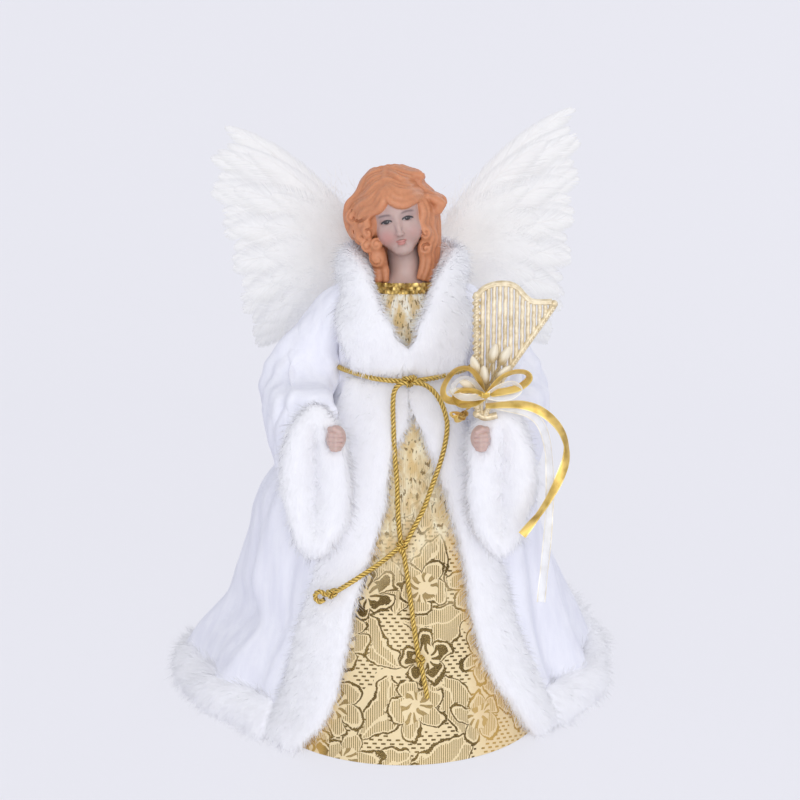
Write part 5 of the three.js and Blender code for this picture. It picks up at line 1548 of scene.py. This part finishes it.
WING_ROOT = np.array([12, 37.4, 236])
FEATHER_GAP = 1.4
FEATHER_START = 9.0
FEATHER_CURL = -10.0
BARB_QUADS = np.array([[0, 1, 3, 2], [2, 3, 5, 4], [4, 5, 7, 6], [6, 7, 9, 8]])
LONG_FEATHERS = {
    -1: [(50, 117), (41, 113), (32, 104), (21, 90), (8, 83), (-9, 81), (-24, 82)],
    1: [(54.5, 122), (47, 112), (38, 100), (26, 88), (11, 82), (-8, 80), (-23, 81)],
}
DOWN_PATCHES = [
    (30, 244, 7), (40, 252, 8), (36, 264, 8), (46, 268, 8), (28, 256, 7), (46, 240, 8),
    (38, 232, 8), (54, 254, 7),
]
DOWN_COUNT = 4200


def wing_spot(side, out, depth, turn):
    return np.stack(np.broadcast_arrays(side * (WING_ROOT[0] + out * np.cos(turn)), WING_ROOT[1] + depth,
                                        WING_ROOT[2] + out * np.sin(turn)), -1)


def arch_of(t):
    return 1.6 * np.sin(np.pi * np.clip(t, 0, 1))


def feather(heap, side, angle, reach, width, depth, rng, lead, barbs=190):
    """Shaft, then barbs on both sides whose tips draw the vane's edge; lead narrows the leading side."""
    def middle(t):
        turn = math.radians(angle) + math.radians(FEATHER_CURL) * (t * t - 0.4)
        return mix(FEATHER_START, reach, t), turn

    def vane(t):
        return (width / 2) * np.sin(np.pi * (0.05 + 0.95 * np.clip(t, 0, 1) ** 0.85)) ** 0.55

    t = np.linspace(0, 0.985, 40)
    out, turn = middle(t)
    shaft = wing_spot(side, out, depth + arch_of(t), turn)
    heap.tube(shaft, mix(0.55, 0.12, t), 5, warm=np.full(40 * 5 + 2, 0.25), rim=np.zeros(40 * 5 + 2))
    ahead = np.append(heap.points[-1][:-2, 1] < np.repeat(shaft[:, 1], 5), (True, True))
    heap.facing[-1] = np.where(ahead[:, None], (0, -1.0, 0), (0, 1.0, 0))
    for edge in (-1, 1):
        at = np.sort(rng.random(barbs)) * 0.2 + np.linspace(0.02, 0.97, barbs) * 0.8
        at = np.clip(at, 0.01, 0.99)
        group = np.cumsum(rng.random(barbs) < 0.06)
        slip = rng.normal(size=group.max() + 1)[group] * 0.008
        sweep = 0.2 * (1 - at**5)
        tip_t = np.clip(at + sweep + slip + 0.02 * rng.normal(size=barbs) * (at < 0.3), 0, 1.0)
        full = vane(tip_t) * (1 + 0.03 * rng.normal(size=barbs) + 0.5 * slip) * (lead if edge > 0 else 1.0)
        s = np.linspace(0, 1, 5)[None, :]
        here = at[:, None] + (tip_t - at)[:, None] * s**0.85
        out, turn = middle(here)
        spread = full[:, None] * s**1.05
        cup = arch_of(here) - 1.4 * (spread / (width / 2))**2
        cup = cup + (slip[:, None] * 14 + 0.25 * rng.normal(size=(barbs, 1))) * s
        base = wing_spot(side, out, depth + cup, turn)
        across = np.stack([-side * np.sin(turn), 0 * turn, np.cos(turn)], -1)
        line = base + edge * spread[:, :, None] * across
        forward = np.gradient(line, axis=1)
        flat = unit(np.cross(forward, (0, 1.0, 0)))
        half = 0.5 * (reach - FEATHER_START) / barbs * np.array([1.1, 1.1, 1.0, 0.75, 0.1])[None, :, None]
        strip = np.stack([line - flat * half, line + flat * half], 2)
        faces = np.arange(barbs)[:, None, None] * 10 + BARB_QUADS
        warm = np.repeat(np.clip(0.55 - here * 2.2, 0, 0.5), 2, axis=1).ravel()
        tilt = 0.5 * edge * across[:, :, None] * (spread / (width / 2))[:, :, None, None]
        stray = 0.12 * rng.normal(size=(barbs, 1, 1, 3)) + slip[:, None, None, None] * 6
        lit = unit(np.array([0, 1.0, 0]) + tilt + stray)
        lit = np.broadcast_to(lit, strip.shape).reshape(-1, 3)
        # rim: painted shade, rising towards the barb tips.
        rim = np.repeat(np.broadcast_to(s**4, here.shape), 2, axis=1).ravel()
        heap.add(strip.reshape(-1, 3), faces.reshape(-1, 4), facing=lit, warm=warm, rim=rim)
    fluff = int(barbs * 0.8)
    t = rng.random(fluff) * 0.3
    out, turn = middle(t)
    roots = wing_spot(side, out, depth + 0 * t, turn)
    aim = np.stack([side * np.cos(turn), 0 * t, np.sin(turn)], 1) * 0.6
    aim = aim + rng.normal(size=(fluff, 3)) * (0.7, 0.35, 0.7)
    bend = unit(aim + rng.normal(size=(fluff, 3)) * 0.5)
    front = np.tile([0.0, -1.0, 0.0], (fluff, 1))
    heap.hairs(roots, unit(aim), bend, 6 + 8 * rng.random(fluff), 0.22, rng, front, warm=np.full(fluff, 0.35),
               rim=np.zeros(fluff))


def down(heap, side, spots, depth, length, count, rng):
    """Loose down over a patch of the wing."""
    pick = rng.integers(0, len(spots), count)
    centre = np.asarray(spots, float)[pick]
    x = centre[:, 0] + rng.normal(size=count) * centre[:, 2]
    z = centre[:, 1] + rng.normal(size=count) * centre[:, 2]
    roots = np.stack([side * x, WING_ROOT[1] + depth + rng.normal(size=count) * 0.8, z], 1)
    out = np.stack([side * (x - WING_ROOT[0] + 4), 0 * x, z - WING_ROOT[2]], 1)
    sweep = np.stack([ripple(roots, 9, 51), 0.4 * ripple(roots, 9, 52), ripple(roots, 9, 53)], 1)
    start = unit(unit(out) + sweep + rng.normal(size=(count, 3)) * (0.5, 0.4, 0.5) + (0, -0.25, 0))
    finish = unit(unit(out) + 1.2 * sweep + rng.normal(size=(count, 3)) * (0.6, 0.3, 0.6))
    near = np.clip(1.0 - np.linalg.norm(out, axis=1) / 50, 0, 0.8)
    lit = unit(np.array([0, -1.0, 0.2]) + 0.35 * sweep)
    long = length * (0.55 + 0.7 * rng.random(count))
    heap.hairs(roots, start, finish, long, 0.2, rng, lit, warm=near, rim=0 * near)


def wing_pieces(side_name, side):
    body = f"{side_name}_wing"
    long_feathers = LONG_FEATHERS[side]
    for k, (angle, reach) in enumerate(long_feathers):
        rng = np.random.default_rng(300 + 20 * k + (side > 0))
        heap = Heap()
        lead = 0.5 if k == 0 else 0.9
        next_angle, next_reach = long_feathers[min(k + 1, len(long_feathers) - 1)]
        feather(heap, side, angle, reach, 29, 1.65 + k * FEATHER_GAP, rng, lead=lead)
        for share, size, behind in ((0.35, 0.95, 0.9), (0.7, 0.98, 0.55)):
            feather(heap, side, mix(angle, next_angle, share), mix(reach, next_reach, share) * size, 28,
                    behind + k * FEATHER_GAP, rng, barbs=150, lead=lead)
        node = f"{body}_feather_{k + 1}"
        lets_light_through(heap.piece(f"{side_name}_feather_{k + 1}", FEATHER, body, [node], "feather"))
    rng = np.random.default_rng(500 + (side > 0))
    heap = Heap()
    for row, (size, wide) in enumerate(((1.0, 28), (0.78, 25))):
        for k in range(7):
            place = (k + 0.5 * row) / 6.5
            feather(heap, side, mix(long_feathers[0][0], -34, place), mix(99, 60, place) * size, wide,
                    -3.4 - 0.7 * row - 0.12 * k, rng, barbs=120, lead=0.4 if k == 0 else 1.0)
    lets_light_through(heap.piece(f"{side_name}_coverts", FEATHER, body, [f"{body}_coverts"], "feather"))
    heap = Heap()
    down(heap, side, DOWN_PATCHES, -5.4, 11, DOWN_COUNT, rng)
    lets_light_through(heap.piece(f"{side_name}_down", FEATHER, body, [f"{body}_down"], "feather"))


wing_pieces("right", -1)
wing_pieces("left", 1)


def wing_pad_piece():
    points, triangles, normals = rounded("wing_pad", 3)
    rng = np.random.default_rng(9)
    points = points + normals * (ripple(points, 4, 2) * 0.25)[:, None]
    roots, out = scatter(points, triangles, normals, 5000, rng)
    heap = Heap().add(points, triangles)
    start = unit(out + rng.normal(size=out.shape) * 0.5)
    finish = unit(out + rng.normal(size=out.shape))
    heap.hairs(roots, start, finish, 1.6, 0.2, rng)
    made = heap.piece("felt_pad", FELT, "figure", ["wing_pad"], "foam")


wing_pad_piece()


# Harp, buds and bow, all carried by the left arm.

HARP_MIDDLE = -69.6
HARP_STRINGS = 13
STRING_GAP = 2.75
SPRAY = np.array([39.8, -73.5, 195])
BOW_PLANE = -78.3
BOW_HOLD = (39.8, 194.6)


def on_harp(pairs, y=HARP_MIDDLE):
    pairs = np.asarray(pairs, float)
    return np.stack([pairs[:, 0], np.full(len(pairs), y), pairs[:, 1]], 1)


def harp_piece():
    heap = Heap()
    column = curve(on_harp([(36.4, 183), (35.6, 212), (35.2, 241)]), 90)
    heap.tube(column, 1.35, 10)
    s = np.linspace(0, 1, 260)
    for ply in range(2):
        turn = 2 * np.pi * (s * 9 + ply / 2)
        line = even(column, 260)
        wound = np.stack([np.cos(turn), np.sin(turn), 0 * turn], 1) * 1.55
        heap.tube(line + wound, 0.55 + 0.12 * np.sin(s * 180), 6)
    for t in np.linspace(0.04, 0.97, 19):
        spot = column[int(t * 89)] + (0, -1.5, 0)
        heap.ball(spot, (0.95, 0.7, 0.95), 8, 6)
    heap.ball(column[-1] + (0.3, 0, 0.6), (2.0, 1.9, 1.9), 14, 9)
    heap.ball(column[0], (2.4, 1.9, 2.2), 14, 9)
    neck = curve(on_harp([
        (35.8, 241.6), (38.6, 244.8), (43, 246.8), (48.2, 247.4), (52, 246.8), (54.9, 245.2), (58.6, 241.2),
        (62, 238.8), (67.4, 238.4), (71.6, 238.6),
    ]), 90)
    heap.tube(neck, 1.5, 10)
    heap.tube(neck + (0, -1.1, 0.5), 0.55, 6)
    heap.tube(neck + (0, -1.1, -0.7), 0.45, 6)
    heap.ball((72.6, HARP_MIDDLE, 237.4), (2.0, 1.7, 2.0), 14, 9)
    board = curve(on_harp([(72.6, 236.4), (66, 226.6), (56, 212), (47.5, 199), (41.5, 186), (40, 182)]), 110)
    heap.tube(board, 1.5, 10)
    for t in np.linspace(0.02, 0.98, 32):
        heap.ball(board[int(t * 109)] + (0.4, -1.35, -0.4), (0.75, 0.6, 0.75), 7, 5)
    rising = board[np.argsort(board[:, 0])]
    for k in range(HARP_STRINGS):
        x = 38.3 + STRING_GAP * k
        top = np.interp(x, neck[:, 0], neck[:, 2])
        low = np.interp(x, rising[:, 0], rising[:, 2])
        if top - low < 3:
            continue
        z = np.linspace(low, top, 30)
        line = np.stack([x + 0.08 * np.sin(z), np.full(30, HARP_MIDDLE), z], 1)
        heap.tube(line, 1.04 + 0.05 * np.sin(z * 3.1), 8)
    foot = curve(on_harp([(36, 184), (38.5, 181.6), (42, 181.4), (46, 182.4)]), 30)
    heap.tube(foot, 1.7, 10)
    heap.piece("cast_harp", PALE_GOLD, "left_arm", ["harp"], "pale_gold")


def bud_piece():
    heap = Heap()
    rng = np.random.default_rng(77)
    spots = [(34.9, 208), (39.2, 203.6), (43.7, 214), (49, 213), (48.4, 204.6), (31.6, 198.6), (26.6, 195)]
    for k, (x, z) in enumerate(spots):
        spot = np.array([x, SPRAY[1] - 1.2 * (k % 3 == 1), z])
        aim = unit(spot - SPRAY + (0, -1.5 * rng.random(), 0))
        side = unit(np.cross(aim, (0, 1.0, 0.01)))
        turn = np.stack([side, np.cross(aim, side), aim], 1)
        t = np.linspace(0, 1, 16)
        girth = 2.35 * np.sin(np.pi * t ** 0.85) ** 0.55 * (1 - 0.12 * t) + 0.08
        a = np.linspace(0, 2 * np.pi, 20, endpoint=False)
        seam = 1 + 0.10 * np.cos(3 * a + 2 * np.pi * k / 7)
        ring = np.stack([
            girth[:, None] * (np.cos(a) * seam)[None], girth[:, None] * (np.sin(a) * seam)[None],
            np.broadcast_to((t * 10.0 - 5.0)[:, None], (16, 20)),
        ], -1).reshape(-1, 3)
        heap.add(ring @ turn.T + spot, grid_faces(16, 20, True), rise=np.repeat(t, 20))
        stem = curve([SPRAY, mix(SPRAY, spot, 0.5) + (0, 0.6, 0), spot - aim * 4.6], 14)
        heap.tube(stem, 0.45, 6, rise=np.zeros(14 * 6 + 2))
        for leaf in range(3):
            swing = 2 * np.pi * leaf / 3 + k
            out = side * math.cos(swing) + turn[:, 1] * math.sin(swing)
            line = curve([spot - aim * 5.2, spot - aim * 3.4 + out * 1.7, spot - aim * 1.2 + out * 2.3], 8)
            thick = 0.75 * np.sin(np.pi * np.linspace(0.25, 0.98, 8))
            heap.tube(line, thick, 5, rise=np.full(8 * 5 + 2, 0.1))
    heap.piece("bud_sprigs", BUDS, "left_arm", ["bud_spray"], "buds")


GOLD_LOOPS = [
    ([(38.4, 195.6), (36, 203), (31, 207.4), (24.6, 206), (19.6, 199), (20, 193.4), (26, 191.6),
      (38, 193.6)], 0.0, 0.75),
    ([(41, 195.6), (46.5, 202), (53, 205.4), (59, 205.4), (60.6, 202.4), (56, 198.4), (49, 196.4),
      (41.2, 195)], 0.4, -0.75),
    ([(38.6, 194.6), (33, 196.6), (28, 196.4), (25, 193.4), (28, 190.6), (34, 191.2), (38.6, 193.8)],
     -1.4, 0.9),
]
SHEER_LOOPS = [
    ([(38.6, 195), (33, 201.6), (28, 202.6), (24, 198.4), (27, 194.4), (33, 193.6), (38.6, 194.2)],
     -0.7, 0.7),
    ([(41, 195), (46, 198.4), (52.4, 200.4), (56, 197.6), (52, 194.2), (46, 193.4), (41, 194.2)],
     -0.6, -0.7),
]


def bow_loop(heap, pairs, ahead, lean):
    """One loop of the bow, its ribbon leaning so that its face shows."""
    line = curve(on_harp(pairs, BOW_PLANE + ahead), 70)
    s = np.linspace(0, 1, 70)
    line[:, 1] += 1.1 * np.sin(2 * np.pi * s)
    along = unit(np.gradient(line, axis=0))
    flat = unit(np.cross(along, (0, -1.0, 0)))
    ribbon(heap, line, math.cos(lean) * np.array([0, -1.0, 0]) + math.sin(lean) * flat, RIBBON_WIDTH, 0.25)


def bow_pieces():
    gold = Heap()
    hold = np.array([BOW_HOLD[0], BOW_PLANE, BOW_HOLD[1]])
    for pairs, ahead, lean in GOLD_LOOPS:
        bow_loop(gold, pairs, ahead, lean)
    wrap = np.linspace(0, 2 * np.pi, 40)
    band = hold + np.stack([0 * wrap, -1.7 * np.cos(wrap) - 0.2, 2.1 * np.sin(wrap)], 1)
    ribbon(gold, band, np.tile([1.0, 0.0, 0.15], (40, 1)), 4.0, 0.2)
    end = curve([hold, hold + (-5, -0.4, -4), hold + (-9.6, -0.2, -7.8), hold + (-11.4, -0.2, -10)], 30)
    ribbon(gold, end, np.tile([0.6, -0.3, 0.7], (30, 1)), 3.2, 0.3)
    knot = hold + (-12.6, -0.6, -10.6) + overhand(60, 0.9) * (1.25, 0.8, 0.85)
    ribbon(gold, knot, np.tile([0.5, -0.6, 0.5], (60, 1)), 3.4, 0.3)
    gold.piece("tied_bow", GOLD_RIBBON, "left_arm", ["gold_bow"], "gold_ribbon")
    sheer = Heap()
    for pairs, ahead, lean in SHEER_LOOPS:
        bow_loop(sheer, pairs, ahead, lean)
    sheer.piece("tied_sheer_bow", SHEER_RIBBON, "left_arm", ["gold_bow"], "sheer_ribbon")


harp_piece()
bud_piece()
bow_pieces()


# Hidden parts keep their own shape and take their finish.

for node, finish in {
    "cone_base": CARD, "torso_form": FOAM, "right_arm_wire": WIRE, "left_arm_wire": WIRE,
    "right_wing_wire": WRAPPED_WIRE, "left_wing_wire": WRAPPED_WIRE,
}.items():
    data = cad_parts[node].data
    data.materials.clear()
    data.materials.append(finish)


# The stage: a pale table that curves up behind, under soft light from the camera's side and one lamp behind.

def stage():
    paint = Paint("pale_table", roughness=0.8)
    tone = paint.noise(paint.place(), 2.0, 1.0)
    paint.feed("Base Color", tone.mix((0.76, 0.76, 0.83), (0.79, 0.79, 0.86)))
    glow = paint.node("ShaderNodeEmission", None, {"Color": (0.85, 0.85, 0.915), "Strength": 1.0})
    lit = Wire(paint, paint.shader.outputs[0])
    both = paint.node("ShaderNodeMixShader", None, {0: paint.seen() * 0.8, 1: lit, 2: glow})
    paint.put(paint.output.inputs[0], both)
    deep = np.concatenate([np.linspace(-2500, 700, 12), 700 + 600 * np.sin(np.linspace(0.1, np.pi / 2, 14))])
    tall = np.concatenate([np.zeros(12), 600 - 600 * np.cos(np.linspace(0.1, np.pi / 2, 14))])
    deep = np.append(deep, 1300)
    tall = np.append(tall, 2600)
    across = np.linspace(-2600, 2600, 9)
    points = np.stack(np.broadcast_arrays(across[None, :], deep[:, None], tall[:, None]), -1).reshape(-1, 3)
    mesh = bpy.data.meshes.new("pale_table")
    mesh.from_pydata((points * MM).tolist(), [], grid_faces(len(deep), 9).tolist())
    mesh.shade_smooth()
    mesh.materials.append(paint.material)
    table = bpy.data.objects.new("pale_table", mesh)
    scene.collection.objects.link(table)


def lamp(name, place, aim, size, power):
    light = bpy.data.lights.new(name, "AREA")
    light.size = size
    light.energy = power
    made = bpy.data.objects.new(name, light)
    made.location = place
    away = np.asarray(place, float) - np.asarray(aim, float)
    flat = math.hypot(away[0], away[1])
    made.rotation_euler = (math.atan2(flat, away[2]), 0, math.atan2(away[0], -away[1]))
    scene.collection.objects.link(made)


def lights():
    world = bpy.data.worlds.new("soft_room")
    scene.world = world
    air = Bench(world)
    room = air.node("ShaderNodeBackground", None, {"Color": (0.95, 0.96, 1.0), "Strength": 0.76})
    far = air.node("ShaderNodeBackground", None, {"Color": (0.82, 0.82, 0.885), "Strength": 1.0})
    both = air.node("ShaderNodeMixShader", None, {0: air.seen(), 1: room, 2: far})
    air.put(air.tree.nodes.new("ShaderNodeOutputWorld").inputs[0], both)
    lamp("softbox", (-0.2, -1.6, 0.65), (0, 0, 0.15), 1.0, 6)
    lamp("fill", (0.6, -1.4, 0.45), (0, 0, 0.15), 1.0, 4.5)
    lamp("back_light", (0.9, 1.3, 1.0), (0, 0, 0.15), 0.8, 4)
    scene.view_settings.view_transform = "Standard"


stage()
lights()
